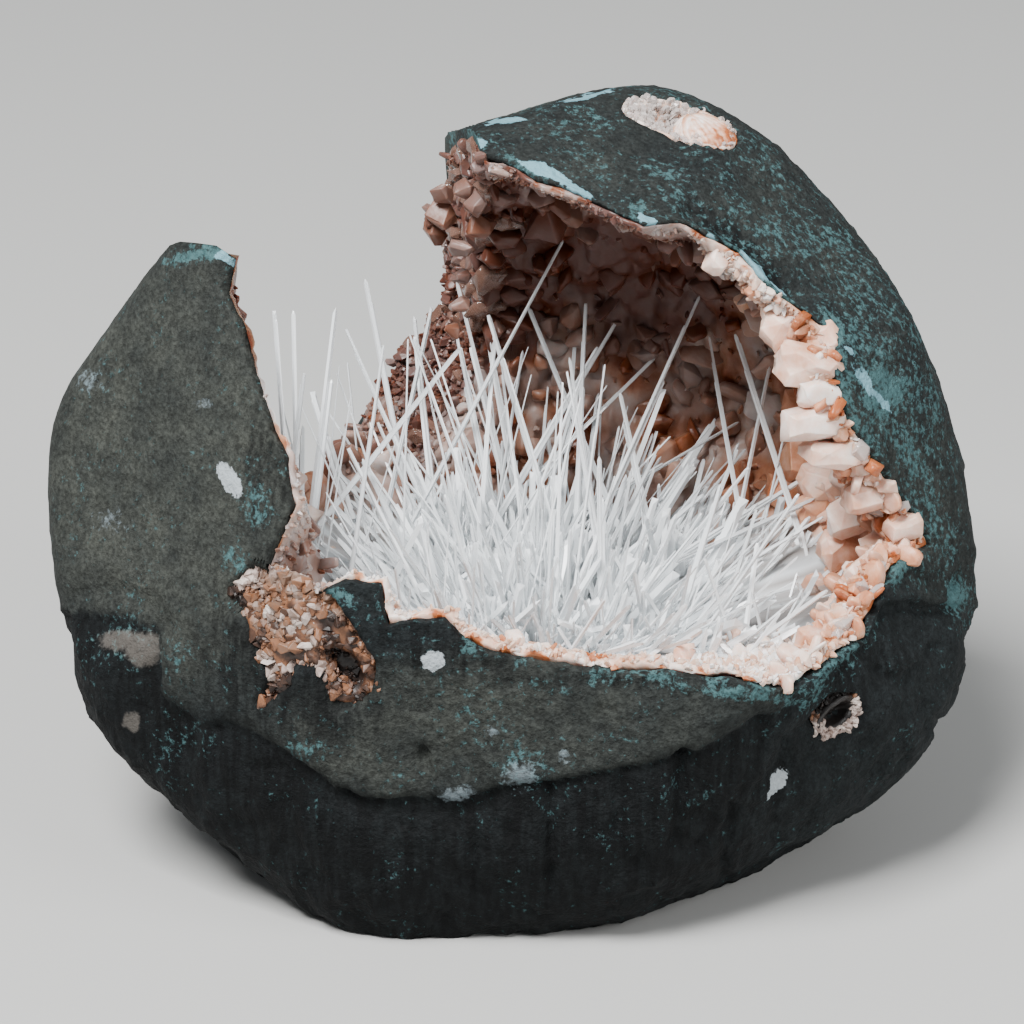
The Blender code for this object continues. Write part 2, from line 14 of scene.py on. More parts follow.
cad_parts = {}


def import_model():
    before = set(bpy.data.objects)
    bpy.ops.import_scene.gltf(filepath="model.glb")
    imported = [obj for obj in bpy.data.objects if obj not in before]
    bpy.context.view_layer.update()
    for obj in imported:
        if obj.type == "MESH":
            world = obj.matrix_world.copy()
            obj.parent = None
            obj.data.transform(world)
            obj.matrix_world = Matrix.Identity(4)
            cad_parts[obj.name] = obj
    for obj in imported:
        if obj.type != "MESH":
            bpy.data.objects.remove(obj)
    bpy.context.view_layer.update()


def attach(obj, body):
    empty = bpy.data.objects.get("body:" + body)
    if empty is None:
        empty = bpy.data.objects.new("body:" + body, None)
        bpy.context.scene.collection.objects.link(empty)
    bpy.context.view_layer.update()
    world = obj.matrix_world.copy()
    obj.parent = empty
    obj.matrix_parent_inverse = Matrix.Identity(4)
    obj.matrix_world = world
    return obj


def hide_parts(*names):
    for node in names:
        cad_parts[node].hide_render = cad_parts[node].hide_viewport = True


MM = 0.001
TURN = math.tau

# The leaning view.
VIEW_LEAN = 22.0
EYE_DISTANCE = 520.0
EYE = np.array([0.0, 0.0, EYE_DISTANCE])
MIDDLE = np.array([3.50, -2.25, 45.0])       # the nodule's middle in the standing frame

# Where the middle lies in the 1024 pixel picture, and the width that the picture takes in.
PICTURE = 1024
MIDDLE_PIXEL = (545, 470)
PICTURE_WIDTH = 122.88

# The nodule: each dressed face looks this way round the view (degrees from the right), leans this far
# towards the eye (degrees), and lies this far from the middle.
FACE_SHARPNESS = (36, 54)      # on the far side and on the near side
LUMP_HEIGHT = 0.5              # and the length of the low waves over all of it
LUMP_LENGTH = 17.0
FACES = [
    (145, 6, 52.5), (165, 6, 59.5), (180, 6, 59.8), (194, 6, 59.9), (227, 6, 59.8), (235, 6, 59.4),
    (291, 10, 53.6), (303, 8, 54.2), (323, 6, 55.8), (344, 6, 54.6), (6, 6, 50.5), (18, 6, 48.6), (31, 6, 47.4),
    (40, 6, 47.0), (54, 6, 48.2), (74, 6, 48.0), (106, 6, 41.6), (270, 48, 47.8), (232, 40, 53.0),
    (0, 88, 31.4), (175, 52, 41.4), (215, 52, 45.5), (80, 39, 36.4), (5, 39, 38.6), (45, 39, 37.0),
    (315, 44, 45.5), (262, 72, 36.5), (0, -88, 38.0), (60, -42, 44.0), (0, -45, 44.5), (180, -45, 47.0),
    (125, -42, 43.0), (215, -40, 50.0), (330, -40, 49.0),
]

# The break line round the opening: across, up, and on the near (1) or the far side (-1).
BREAK_LINE = [
    (-10.2, 38.2, 1), (-7.6, 37.9, 1), (-4.2, 37.0, 1), (-1.0, 34.9, 1), (1.9, 34.3, 1), (4.7, 33.0, 1),
    (7.1, 31.6, 1), (9.5, 30.8, 1), (12.0, 29.6, 1), (14.4, 28.6, 1), (16.4, 30.0, 1), (19.7, 28.2, 1),
    (23.2, 26.4, 1), (24.2, 22.0, 1), (27.4, 21.9, 1), (31.9, 18.8, 1), (35.4, 15.6, 1), (34.5, 12.2, 1),
    (35.0, 8.2, 1), (37.2, 5.6, 1), (38.2, 0.1, 1), (41.0, -3.4, 1), (44.9, -6.4, 1), (46.7, -8.9, 1),
    (42.2, -11.6, 1), (40.2, -15.8, 1), (38.2, -20.5, 1), (34.3, -23.0, 1), (29.4, -26.4, 1), (23.5, -25.4, 1),
    (13.8, -24.4, 1), (8.8, -24.4, 1), (4.1, -24.0, 1), (-2.8, -22.6, 1), (-6.5, -22.1, 1), (-9.7, -20.4, 1),
    (-12.2, -18.0, 1), (-15.5, -18.2, 1), (-17.9, -20.0, 1), (-19.1, -18.7, 1), (-19.8, -13.8, 1),
    (-24.2, -13.1, 1), (-28.0, -15.1, 1), (-31.2, -14.6, 1), (-34.0, -12.6, 1), (-34.0, -9.4, 1),
    (-32.3, -6.5, 1), (-30.5, -4.3, 1), (-31.2, -1.8, 1), (-31.4, 1.6, 1), (-33.4, 5.5, 1), (-35.4, 11.6, 1),
    (-37.1, 17.8, 1), (-39.5, 21.6, 1), (-38.5, 26.8, 1), (-44.6, 25.4, -1), (-40.5, 15.0, -1),
    (-31.0, 6.0, -1), (-23.4, 4.8, -1), (-18.6, 12.6, -1), (-15.0, 15.6, -1), (-12.2, 18.8, -1),
    (-11.5, 21.7, -1), (-11.5, 24.7, -1), (-10.9, 27.6, -1), (-12.0, 31.8, -1), (-11.8, 35.4, -1),
]
OPENING_AXIS = (-0.10, 0.49, 0.87)
NARROWEST_STEP = math.radians(2.5)
RIM_JAG = 0.45                 # how far the break wanders from that line
RIM_PROUD = (0.0, 0.8)         # how far the crust stands past the rock along the break
RIM_REACH = 48.0               # about how far the break lies from the middle
BARE_DEPTH = (3, 9)            # how far below the break (degrees) the lobe's inner side stays bare

# Along the break: across, up, near or far side, and the thickness of the crust and of the rock's edge.
RIM_WIDTHS = [
    (-10.2, 38.2, 1, 0.8, 3.0), (-7.6, 37.9, 1, 1.2, 0.8), (-1.0, 34.9, 1, 0.8, 0.5), (14.4, 28.6, 1, 0.6, 0.5),
    (23.2, 26.4, 1, 1.3, 0.5), (31.9, 18.8, 1, 1.8, 0.6), (35.0, 8.2, 1, 3.0, 0.9), (46.7, -8.9, 1, 3.2, 0.9),
    (38.2, -20.5, 1, 2.6, 0.9), (29.4, -26.4, 1, 1.6, 0.9), (8.8, -24.4, 1, 1.4, 0.9),
    (-12.2, -18.0, 1, 1.4, 0.9), (-19.8, -13.8, 1, 0.8, 0.9), (-31.2, -14.6, 1, 1.4, 0.9),
    (-31.2, -1.8, 1, 0.8, 0.9), (-34.6, 8.6, 1, 0.5, 1.4), (-37.1, 17.8, 1, 0.3, 1.8),
    (-38.5, 26.8, 1, 0.3, 2.0), (-44.6, 25.4, -1, 0.4, 2.0), (-31.0, 6.0, -1, 1.4, 0.9),
    (-11.5, 24.7, -1, 2.2, 0.9), (-12.0, 31.8, -1, 2.2, 1.0), (-11.8, 35.4, -1, 1.0, 3.2),
]
BROW_SHARES = (0.14, 0.32, 0.5, 0.68, 0.86)
BROW_HEIGHT = 0.5              # how far the crust's broken edge swells between its two sides

# The low place in the far wall, and its broken edge.
GAP_OUTLINE = [
    (-56.0, 26.0), (-52.0, 12.0), (-42.0, 1.0), (-34.0, -5.0), (-27.8, -1.2), (-21.8, 5.6), (-18.0, 12.6),
    (-24.0, 34.0), (-46.0, 36.0),
]
GAP_DEPTH = (-80.0, 2.0)       # from far to near
GAP_STEP = 1.6
GAP_ROUGHNESS = 0.7            # how far its sides wander

# The hollow, its flare out to the break, and the crust that lines it.
HOLLOW_MIDDLE = np.array([1.0, 4.0, 1.0])
HOLLOW_HALF = np.array([42.0, 31.5, 31.0])
HOLLOW_LUMP = 1.6              # how far its wall swells and sinks
FLARE_ANGLE = 11.0             # how soon the wall leaves the break line, in degrees
LEAST_WALL = 4.0
CRUST_THICKNESS = 3.4
CRUST_LUMP = 0.8

# The spray stands on a foot round this way from the middle, so many degrees wide across and along it.
FLOOR_WAY = (-0.04, -0.93, -0.33)
FOOT_SPREAD = (52.0, 76.0)
FOOT_HEIGHT = 7.0
FOOT_FILL = 0.6                # part of that height where the needles are one mass
SPRAY_CENTRE_DEPTH = 15.0      # how far under the floor lies the point that the needles lean away from
# How high the tall needles reach and how many degrees they lean, from left to right.
SPRAY_TOP = [
    (-33, 9), (-28, 13), (-20, 15), (-12, 18), (-4, 16), (4, 14), (12, 11), (18, 9), (24, 6), (30, -2), (34, -7),
]
SPRAY_LEAN = [(-33, -4), (-20, -12), (-8, -6), (4, 4), (14, 18), (24, 36), (34, 52)]
# Tall needles that stand out: across and up of the tip and of the lowest place where it is seen, and width.
TALL_NEEDLES = [
    (-32.5, 19.1, -31.6, 7.0, 1.0), (-30.2, 19.1, -30.0, 8.0, 1.0), (-25.1, 19.5, -27.8, -3.0, 1.6),
    (-21.6, 22.9, -16.0, -6.0, 1.2), (-23.9, 16.9, -19.0, 6.0, 0.9), (-10.3, 14.5, -27.7, -7.3, 1.35),
    (-15.7, 18.5, -13.0, -6.0, 1.2), (-13.6, 19.6, -17.5, 2.0, 1.0), (-10.6, 22.6, -5.0, 0.0, 1.3),
    (-7.0, 17.2, -4.0, 0.0, 1.1), (-6.8, 18.6, -2.0, 3.0, 1.1), (2.2, 27.6, -5.6, 13.0, 1.0),
    (-2.0, 19.6, 5.2, 2.0, 1.1), (4.9, 20.0, 4.2, 4.0, 1.0), (8.4, 17.5, -2.0, 0.0, 1.1),
    (13.1, 13.4, 1.6, 2.0, 1.2), (14.3, 9.7, 8.0, -7.0, 1.9), (6.4, 9.2, 5.4, 2.0, 1.3),
    (18.6, 21.0, 11.0, 4.0, 1.0), (20.6, 6.0, 15.6, -2.0, 2.0), (19.7, 16.1, 23.6, -6.0, 1.0),
    (22.8, 16.3, 31.0, -9.0, 1.0), (27.2, 13.6, 23.4, -5.0, 1.1), (31.0, -1.0, 19.2, -8.4, 1.2),
    (32.4, -3.4, 19.6, -9.2, 1.2), (31.8, -5.6, 26.0, -13.0, 1.2), (3.6, 15.6, 2.6, 2.0, 1.0),
    (-27.9, 9.4, -25.0, -0.3, 1.6), (-23.7, 13.0, -22.6, 2.5, 0.6), (-25.9, 6.8, -22.9, 2.3, 0.6),
]

# Pockets in the outside: across, up, half length, half width, depth, and the turn of the length.
POCKETS = {
    "top_vug": (16.3, 41.9, 7.2, 3.7, 2.4, -27.0),
    "left_vein": (-27.6, -22.6, 7.4, 5.2, 3.0, -52.0),
    "right_pocket": (35.2, -29.4, 3.0, 2.4, 2.4, 20.0),
}
VEIN_OUTLINE = [
    (-25.7, -15.4), (-23.8, -18.2), (-21.8, -21.2), (-20.6, -23.2), (-21.1, -26.8), (-23.5, -29.0),
    (-26.2, -28.1), (-27.0, -25.6), (-27.7, -24.1), (-30.6, -23.6), (-30.8, -26.3), (-35.0, -28.8),
    (-34.0, -26.9), (-33.0, -25.1), (-34.6, -23.2), (-35.5, -21.7), (-35.8, -18.7), (-38.2, -16.3),
    (-38.5, -14.5), (-35.4, -11.6), (-30.6, -13.2),
]
VEIN_HOLLOW = (-24.6, -24.2, 2.9, 1.9, -50.0)
# Needles of the mass: how many are tried, least and most length, least and most width, how wildly they
# lean, and how far out on the foot they stand.
NEEDLE_SETS = [
    (230, 12.0, 20.0, 0.25, 0.8, 0.24, 0.86), (950, 6.0, 13.0, 0.28, 0.9, 0.32, 0.95),
    (230, 7.0, 16.0, 0.95, 1.7, 0.36, 0.70), (2600, 2.0, 6.5, 0.4, 1.3, 0.5, 1.0),
]
WHITE_WIDTH = 0.9              # needles wider than this are white and blunt
STUB_COUNT = 210
VUG_PRISMS = 260
POCKET_GRAINS = 170

# The rock's and the crust's meshes: columns round, then rows and how they crowd to the break, outside and inside.
ROCK_MESH = (620, (130, 1.35), (8, 1.2))
CRUST_MESH = (580, (10, 1.3), (130, 1.15))
SEED = 11

# Lights: name, place in metres, size and power.
LIGHTS = [("key", (-0.30, -0.38, 0.85), 0.40, 25.0), ("side", (0.75, -0.45, 0.45), 0.5, 7.0)]


def linear(code):
    """An sRGB hex colour as the linear values a shader takes."""
    parts = [int(code[k:k + 2], 16) / 255 for k in (1, 3, 5)]
    return [c / 12.92 if c <= 0.04045 else ((c + 0.055) / 1.055) ** 2.4 for c in parts] + [1.0]


def face_vector(turn, lean, distance):
    turn, lean = math.radians(turn), math.radians(lean)
    return np.array([math.cos(lean) * math.cos(turn), math.cos(lean) * math.sin(turn), math.sin(lean)]) / distance


FACE_VECTORS = np.array([face_vector(*face) for face in FACES])
BASE_VECTOR = face_vector(270, -VIEW_LEAN, MIDDLE[2])


def unit(vectors):
    vectors = np.asarray(vectors, dtype=float)
    return vectors / np.linalg.norm(vectors, axis=-1, keepdims=True)


def smooth(values, low, high):
    """0 below low, 1 above high, with a smooth step between."""
    share = np.clip((values - low) / (high - low), 0, 1)
    return share * share * (3 - 2 * share)


def to_world(points):
    """Points of the leaning view as metres of the standing frame."""
    across, up, near = np.asarray(points, dtype=float).reshape(-1, 3).T
    sin, cos = math.sin(math.radians(VIEW_LEAN)), math.cos(math.radians(VIEW_LEAN))
    standing = np.stack([across, up * sin - near * cos, up * cos + near * sin], axis=1)
    return (standing + MIDDLE) * MM


def seen(points):
    """Across and up as the eye sees them."""
    return points[:, :2] * (EYE_DISTANCE / (EYE_DISTANCE - points[:, 2:3]))


def field(points, length, shift=0.0, octaves=1):
    """Smooth noise from about -1 to 1 over this many millimetres. More octaves add finer detail."""
    moved = (points / length + (shift, 1.7 * shift, -shift)).tolist()
    if octaves == 1:
        return np.array([noise.noise(p) for p in moved])
    return np.array([noise.fractal(p, 1.0, 2.0, octaves) for p in moved])


def cells(points, length):
    """Distances to the nearest and second nearest of scattered middles, this far apart, as shares."""
    found = np.array([noise.voronoi(p)[0][:2] for p in (points / length).tolist()])
    return found[:, 0], found[:, 1]


def rock_radius(ways):
    """How far the rock's faces lie from the middle, before the fine relief."""
    towards = np.maximum(ways @ FACE_VECTORS.T, 0.0)
    far, near = FACE_SHARPNESS
    sharpness = far + (near - far) * smooth(ways[:, 2], -0.2, 0.2)
    radius = (towards ** sharpness[:, None]).sum(axis=1) ** (-1.0 / sharpness)
    radius = radius + LUMP_HEIGHT * field(ways * radius[:, None], LUMP_LENGTH, 3.1)
    return np.minimum(radius, base_radius(ways))


def base_radius(ways):
    """Where each ray from the middle meets the flat base."""
    return 1.0 / np.maximum(ways @ BASE_VECTOR, 1e-6)


def hollow_radius(ways):
    offset = -HOLLOW_MIDDLE / HOLLOW_HALF
    way = ways / HOLLOW_HALF
    a, b, c = (way * way).sum(axis=1), 2 * way @ offset, offset @ offset - 1
    radius = (-b + np.sqrt(b * b - 4 * a * c)) / (2 * a)
    return radius + HOLLOW_LUMP * field(ways * radius[:, None], 14.0, 9.4)


def along_sight(spots, least, most, count):
    """Points on the line of sight through each place, between these shares of the way to it."""
    rays = np.column_stack([spots, np.zeros(len(spots))]) - EYE
    return EYE + np.linspace(least, most, count)[None, :, None] * rays[:, None, :]


def on_rock(spots, side=1):
    """The points of the rock's surface that the eye sees at these places, on the near or far side."""
    points = along_sight(spots, 0.84, 1.16, 321)
    flat = points.reshape(-1, 3)
    inside = (np.linalg.norm(flat, axis=1) <= rock_radius(unit(flat))).reshape(len(spots), -1)
    first = inside.argmax(axis=1) if side > 0 else inside.shape[1] - 1 - inside[:, ::-1].argmax(axis=1)
    return points[np.arange(len(spots)), first]


def axes_about(axis):
    axis = unit(axis)
    first = unit(np.cross(axis, (0.1, 0.2, 1.0)))
    return axis, first, np.cross(axis, first)


AXIS, AXIS_FIRST, AXIS_SECOND = axes_about(OPENING_AXIS)
FLOOR, FLOOR_SIDE, FLOOR_FRONT = axes_about(FLOOR_WAY)


def turn_of(ways):
    return np.arctan2(ways @ AXIS_SECOND, ways @ AXIS_FIRST) % TURN


def fall_of(ways):
    return np.arccos(np.clip(ways @ AXIS, -1, 1))


def directions(turns, falls):
    sides = np.cos(turns)[:, None] * AXIS_FIRST + np.sin(turns)[:, None] * AXIS_SECOND
    return np.cos(falls)[:, None] * AXIS + np.sin(falls)[:, None] * sides


def break_meridians():
    """Turn and fall of the break line, in order, without the points that turn back."""
    kept = []
    for across, up, side in reversed(BREAK_LINE):
        way = unit(on_rock(np.array([[across, up]]), side))
        turn, fall = turn_of(way)[0], fall_of(way)[0]
        ahead = (turn - kept[-1][0] + math.pi) % TURN - math.pi if kept else 1.0
        to_start = (kept[0][0] - turn) % TURN if len(kept) > 30 else math.pi
        if ahead > NARROWEST_STEP and NARROWEST_STEP < to_start:
            kept.append((turn, fall))
    return np.array(sorted(kept)).T


RIM_TURNS, RIM_FALLS = break_meridians()


def rim_fall(turns):
    return np.interp(turns, RIM_TURNS, RIM_FALLS, period=TURN)


def rim_widths():
    """Turn, crust thickness and rock thickness at the places listed along the break, in order."""
    return np.array(sorted((turn_of(unit(on_rock(np.array([[across, up]]), side)))[0], crust, rock)
                           for across, up, side, crust, rock in RIM_WIDTHS)).T


WIDTH_TURNS, CRUST_WIDTHS, ROCK_WIDTHS = rim_widths()


def crust_width(ways):
    return np.interp(turn_of(ways), WIDTH_TURNS, CRUST_WIDTHS, period=TURN)


def bare_lobe(ways, below=None):
    """1 on the inner side of the pointed lobe, where hardly any crust grows, and 0 elsewhere.

    Where the angle below the break is given, in degrees, the bare place ends not far below it.
    """
    bare = smooth(-ways[:, 0], 0.60, 0.74) * smooth(ways[:, 1], 0.02, 0.22)
    return bare if below is None else bare * (1 - smooth(below, *BARE_DEPTH))


def below_break(ways):
    return fall_of(ways) - rim_fall(turn_of(ways))


def flare(below):
    return np.exp(-np.degrees(np.maximum(below, 0)) / FLARE_ANGLE)


def wall_radius(ways, below):
    outside = rock_radius(ways)
    hollow = np.minimum(hollow_radius(ways), outside - LEAST_WALL)
    edge = np.interp(turn_of(ways), WIDTH_TURNS, ROCK_WIDTHS, period=TURN)
    return hollow + (outside - edge - hollow) * flare(below)


def foot_edge(turns):
    narrow, wide = FOOT_SPREAD
    sideways = (np.cos(turns)[:, None] * FLOOR_SIDE + np.sin(turns)[:, None] * FLOOR_FRONT)[:, 0]
    return narrow + (wide - narrow) * sideways ** 2


def floor_place(ways):
    """Turn and angle of each direction about the middle of the floor, the angle in degrees."""
    return (np.arctan2(ways @ FLOOR_FRONT, ways @ FLOOR_SIDE),
            np.degrees(np.arccos(np.clip(ways @ FLOOR, -1, 1))))


def floor_share(ways):
    turns, angles = floor_place(ways)
    return np.clip((foot_edge(turns) + 14 - angles) / 8, 0, 1)


def crust_radius(ways, below):
    outer = wall_radius(ways, below)
    thickness = CRUST_THICKNESS + (crust_width(ways) - CRUST_THICKNESS) * flare(below)
    thickness = thickness + CRUST_LUMP * field(ways * outer[:, None], 5.5, 4.4) * (1 - floor_share(ways))
    return outer - thickness * (1 - 0.9 * bare_lobe(ways))


def on_crust(spots):
    """Where the lines of sight meet the crust through the opening, and which of them do."""
    points = along_sight(spots, 0.92, 1.12, 201)
    flat = points.reshape(-1, 3)
    ways = unit(flat)
    below = below_break(ways)
    hit = (below > math.radians(1.5)) & (np.linalg.norm(flat, axis=1) >= crust_radius(ways, below))
    hit = hit.reshape(len(spots), -1)
    first = np.where(hit.any(axis=1), hit.argmax(axis=1), hit.shape[1] - 1)
    return points[np.arange(len(spots)), first], hit.any(axis=1)


def inside_outline(spots, outline):
    across, up = spots.T
    inside = np.zeros(len(spots), dtype=bool)
    for (a, b), (c, d) in zip(outline, outline[1:] + outline[:1]):
        inside ^= ((b > up) != (d > up)) & (across < (c - a) * (up - b) / (d - b + 1e-9) + a)
    return inside


def in_low_place(points):
    """Which points lie in the low place of the far wall, where there is no rock."""
    return inside_outline(seen(points), GAP_OUTLINE) & (points[:, 2] < GAP_DEPTH[1])


def make_object(name, points, faces, smooth_shaded=True):
    """A mesh object from points of the leaning view."""
    mesh = bpy.data.meshes.new(name)
    mesh.from_pydata(to_world(points).tolist(), [], faces)
    mesh.polygons.foreach_set("use_smooth", [smooth_shaded] * len(mesh.polygons))
    mesh.update()
    made = bpy.data.objects.new(name, mesh)
    bpy.context.scene.collection.objects.link(made)
    return made


def leaning_points(made):
    """An object's points back in the leaning view, in millimetres."""
    flat = np.empty(len(made.data.vertices) * 3)
    made.data.vertices.foreach_get("co", flat)
    standing = flat.reshape(-1, 3) / MM - MIDDLE
    sin, cos = math.sin(math.radians(VIEW_LEAN)), math.cos(math.radians(VIEW_LEAN))
    return np.column_stack([standing[:, 0], standing[:, 1] * sin + standing[:, 2] * cos,
                            standing[:, 2] * sin - standing[:, 1] * cos])


def paint(made, **values):
    """Stores a number at each point, for the material to read."""
    for name, numbers in values.items():
        layer = made.data.attributes.new(name, "FLOAT", "POINT")
        layer.data.foreach_set("value", np.full(len(made.data.vertices), numbers, dtype=np.float32))


def band(columns, a, b, pattern):
    """Faces all round between the rings of points that start at numbers a and b.

    The pattern names a face's corners in order: a and b on their rings, A and B one column further, and
    a dot for a lone point whose number is b.
    """
    k = np.arange(columns)
    m = (k + 1) % columns
    corners = {"a": a + k, "A": a + m, "b": b + k, "B": b + m, ".": np.full(columns, b)}
    return np.column_stack([corners[letter] for letter in pattern]).tolist()


def bands(columns, start, rows, pattern):
    """Faces between rings that follow one another, the first at this number."""
    return [face for a in range(start, start + (rows - 1) * columns, columns)
            for face in band(columns, a, a + columns, pattern)]


def ring_turns(columns, rows):
    """The turn of each point of so many rings."""
    return np.tile(np.arange(columns) / columns * TURN, rows)


def shell(name, columns, outer_rows, inner_rows, outer_at, inner_at, edge_at, brow_at=None):
    """A closed shell between two surfaces round the middle, open at the break.

    outer_at and inner_at give a radius for directions and their angle below the break. edge_at gives
    how far the edge lies past the break line, as an angle at each turn. brow_at gives how far the edge
    swells at points across it.
    """
    turns = ring_turns(columns, 1)
    rims = rim_fall(turns) - edge_at(turns)
    rings = []
    for (rows, power), radius_at in ((outer_rows, outer_at), (inner_rows, inner_at)):
        shares = np.linspace(0, 1, rows + 1)[:-1] ** power
        falls = rims[None, :] + (math.pi - rims[None, :]) * shares[:, None]
        ways = directions(np.tile(turns, rows), falls.ravel())
        radii = radius_at(ways, (falls - rim_fall(turns)[None, :]).ravel())
        rings.append(ways * radii[:, None])
    points = rings + [-AXIS[None, :] * radius_at(-AXIS[None, :], np.array([2.0]))[:, None]
                      for radius_at in (outer_at, inner_at)]
    brow_shares = BROW_SHARES if brow_at else ()
    for share in brow_shares:
        across = rings[0][:columns] * (1 - share) + rings[1][:columns] * share
        outward = AXIS - unit(across) * (unit(across) @ AXIS)[:, None]
        points.append(across + unit(outward) * brow_at(across, share)[:, None])
    inner = len(rings[0])
    poles = inner + len(rings[1])
    faces = bands(columns, 0, outer_rows[0], "abBA") + bands(columns, inner, inner_rows[0], "ABba")
    faces += band(columns, inner - columns, poles, "a.A") + band(columns, poles - columns, poles + 1, "A.a")
    brows = [poles + 2 + row * columns for row in range(len(brow_shares))]
    for a, b in zip([0] + brows, brows + [inner]):
        faces += band(columns, a, b, "aABb")
    return make_object(name, np.concatenate(points), faces)


def gap_cutter():
    """The low place as a prism along the lines of sight, with broken, uneven sides."""
    corners = np.array(GAP_OUTLINE + GAP_OUTLINE[:1])
    steps = np.linalg.norm(np.diff(corners, axis=0), axis=1)
    outline = np.concatenate([
        corners[k] + (corners[k + 1] - corners[k]) * np.arange(n)[:, None] / n
        for k, n in enumerate(np.ceil(steps / GAP_STEP).astype(int))])
    count = len(outline)
    outward = unit(outline - outline.mean(axis=0))
    depths = np.arange(GAP_DEPTH[0], GAP_DEPTH[1] + 0.1, GAP_STEP)
    rings = []
    for depth in depths:
        spots = np.column_stack([outline, np.full(count, depth)])
        uneven = GAP_ROUGHNESS * (field(spots, 4.5, 2.2) + 0.6 * field(spots, 1.9, 7.1))
        moved = np.column_stack([outline + outward * uneven[:, None], np.zeros(count)])
        rings.append(EYE + (moved - EYE) * (EYE_DISTANCE - depth) / EYE_DISTANCE)
    k = np.arange(count)
    faces = [k.tolist(), (k + (len(depths) - 1) * count)[::-1].tolist()]
    made = make_object("gap_cutter", np.concatenate(rings), faces + bands(count, 0, len(depths), "abBA"))
    mesh = bmesh.new()
    mesh.from_mesh(made.data)
    bmesh.ops.recalc_face_normals(mesh, faces=mesh.faces)
    if mesh.calc_volume(signed=True) < 0:
        bmesh.ops.reverse_faces(mesh, faces=mesh.faces)
    mesh.to_mesh(made.data)
    mesh.free()
    return made


def cut(target, tool):
    """Cuts the tool out of the target and keeps the result as its mesh."""
    step = target.modifiers.new("cut", "BOOLEAN")
    step.operation = "DIFFERENCE"
    step.solver = "MANIFOLD"
    step.object = tool
    shown = target.evaluated_get(bpy.context.evaluated_depsgraph_get())
    mesh = bpy.data.meshes.new_from_object(shown)
    target.modifiers.clear()
    target.data = mesh
    mesh.polygons.foreach_set("use_smooth", [True] * len(mesh.polygons))


def segment_distance(spots, line):
    """Distance from each spot to a polyline, and which side of it the spot lies on (1 is left)."""
    best = np.full(len(spots), 1e9)
    side = np.ones(len(spots))
    for a, b in zip(line, line[1:]):
        a, b = np.array(a), np.array(b)
        along = b - a
        share = np.clip((spots - a) @ along / (along @ along), 0, 1)
        away = spots - (a + share[:, None] * along)
        distance = np.linalg.norm(away, axis=1)
        closer = distance < best
        best = np.where(closer, distance, best)
        side = np.where(closer, np.sign(along[0] * away[:, 1] - along[1] * away[:, 0]), side)
    return best, side


def ellipse(spots, across, up, half_length, half_width, turn=0.0):
    """0 in the middle of a tilted ellipse and 1 at its edge."""
    cos, sin = math.cos(math.radians(turn)), math.sin(math.radians(turn))
    x, y = spots[:, 0] - across, spots[:, 1] - up
    return np.hypot((x * cos + y * sin) / half_length, (y * cos - x * sin) / half_width)


def blob(spots, across, up, half_length, half_width, turn=0.0, edge=0.35):
    """1 inside a tilted ellipse, fading to 0 at its edge."""
    return 1 - smooth(ellipse(spots, across, up, half_length, half_width, turn), 1 - edge, 1 + edge)


# Outside relief. Each groove: its line, half width and depth.
BAND_EDGE = [
    (-56.6, -17.3), (-50.8, -17.5), (-46.9, -19.3), (-46.0, -27.3), (-41.0, -30.5), (-37.1, -30.5),
    (-31.2, -34.0), (-26.3, -37.7), (-24.2, -39.2), (-19.3, -40.2), (-16.0, -39.7), (-9.8, -40.2),
    (-5.5, -38.3), (1.2, -37.7), (8.9, -36.1), (13.4, -35.3), (18.6, -34.1), (25.8, -29.8), (33.0, -26.4),
    (40.9, -17.0), (48.7, -16.6),
]
GROOVES = [
    (BAND_EDGE[:9], 0.9, 0.5), (BAND_EDGE[8:18], 0.8, 0.6), (BAND_EDGE[18:], 0.9, 0.4),
    ([(0.2, -38.6), (0.8, -50.0)], 0.8, 1.1), ([(16.8, -34.5), (15.6, -45.0)], 1.0, 1.3),
    ([(22.4, -40.5), (21.4, -48.5)], 0.7, 0.9), ([(9.0, -38.0), (8.2, -46.5)], 0.7, 0.6),
    ([(-8.0, -41.5), (-8.6, -50.0)], 0.7, 0.6), ([(29.0, -33.0), (27.4, -44.0)], 0.8, 0.6),
    ([(18.0, 31.4), (21.8, 29.6), (24.6, 27.4), (27.8, 24.2), (30.8, 20.8)], 1.5, 1.2),
    ([(40.9, -17.0), (44.3, -16.2), (45.7, -17.2), (48.7, -16.6)], 0.8, 1.2),
    ([(-56.6, -15.3), (-51.8, -14.7), (-47.5, -16.3), (-45.5, -19.0)], 1.3, 1.3),
    ([(-32.0, -36.0), (-22.0, -41.0), (-12.0, -42.0)], 1.4, 0.7),
]
PITS = [
    (-14.8, -34.6, 1.3, 0.9, 1.1, 80.0), (50.0, -14.8, 2.6, 1.3, 1.2, 80.0), (-30.6, 13.6, 0.9, 0.5, 0.3, 90.0),
    (6.8, 32.8, 0.6, 0.5, 0.4, 0.0), (11.0, 32.6, 0.5, 0.4, 0.4, 30.0),
]


def in_pocket(points, name):
    """1 inside a pocket's mouth, fading to 0 at its edge."""
    if name == "left_vein":
        spots = seen(points)
        distance, _ = segment_distance(spots, VEIN_OUTLINE + VEIN_OUTLINE[:1])
        return smooth(np.where(inside_outline(spots, VEIN_OUTLINE), distance, -distance), -0.3, 0.7)
    pocket = pocket_frame(name)
    away = points - pocket.at
    out = np.hypot(away @ pocket.along / pocket.half_length, away @ pocket.across / pocket.half_width)
    return 1 - smooth(out, 0.9, 1.06)


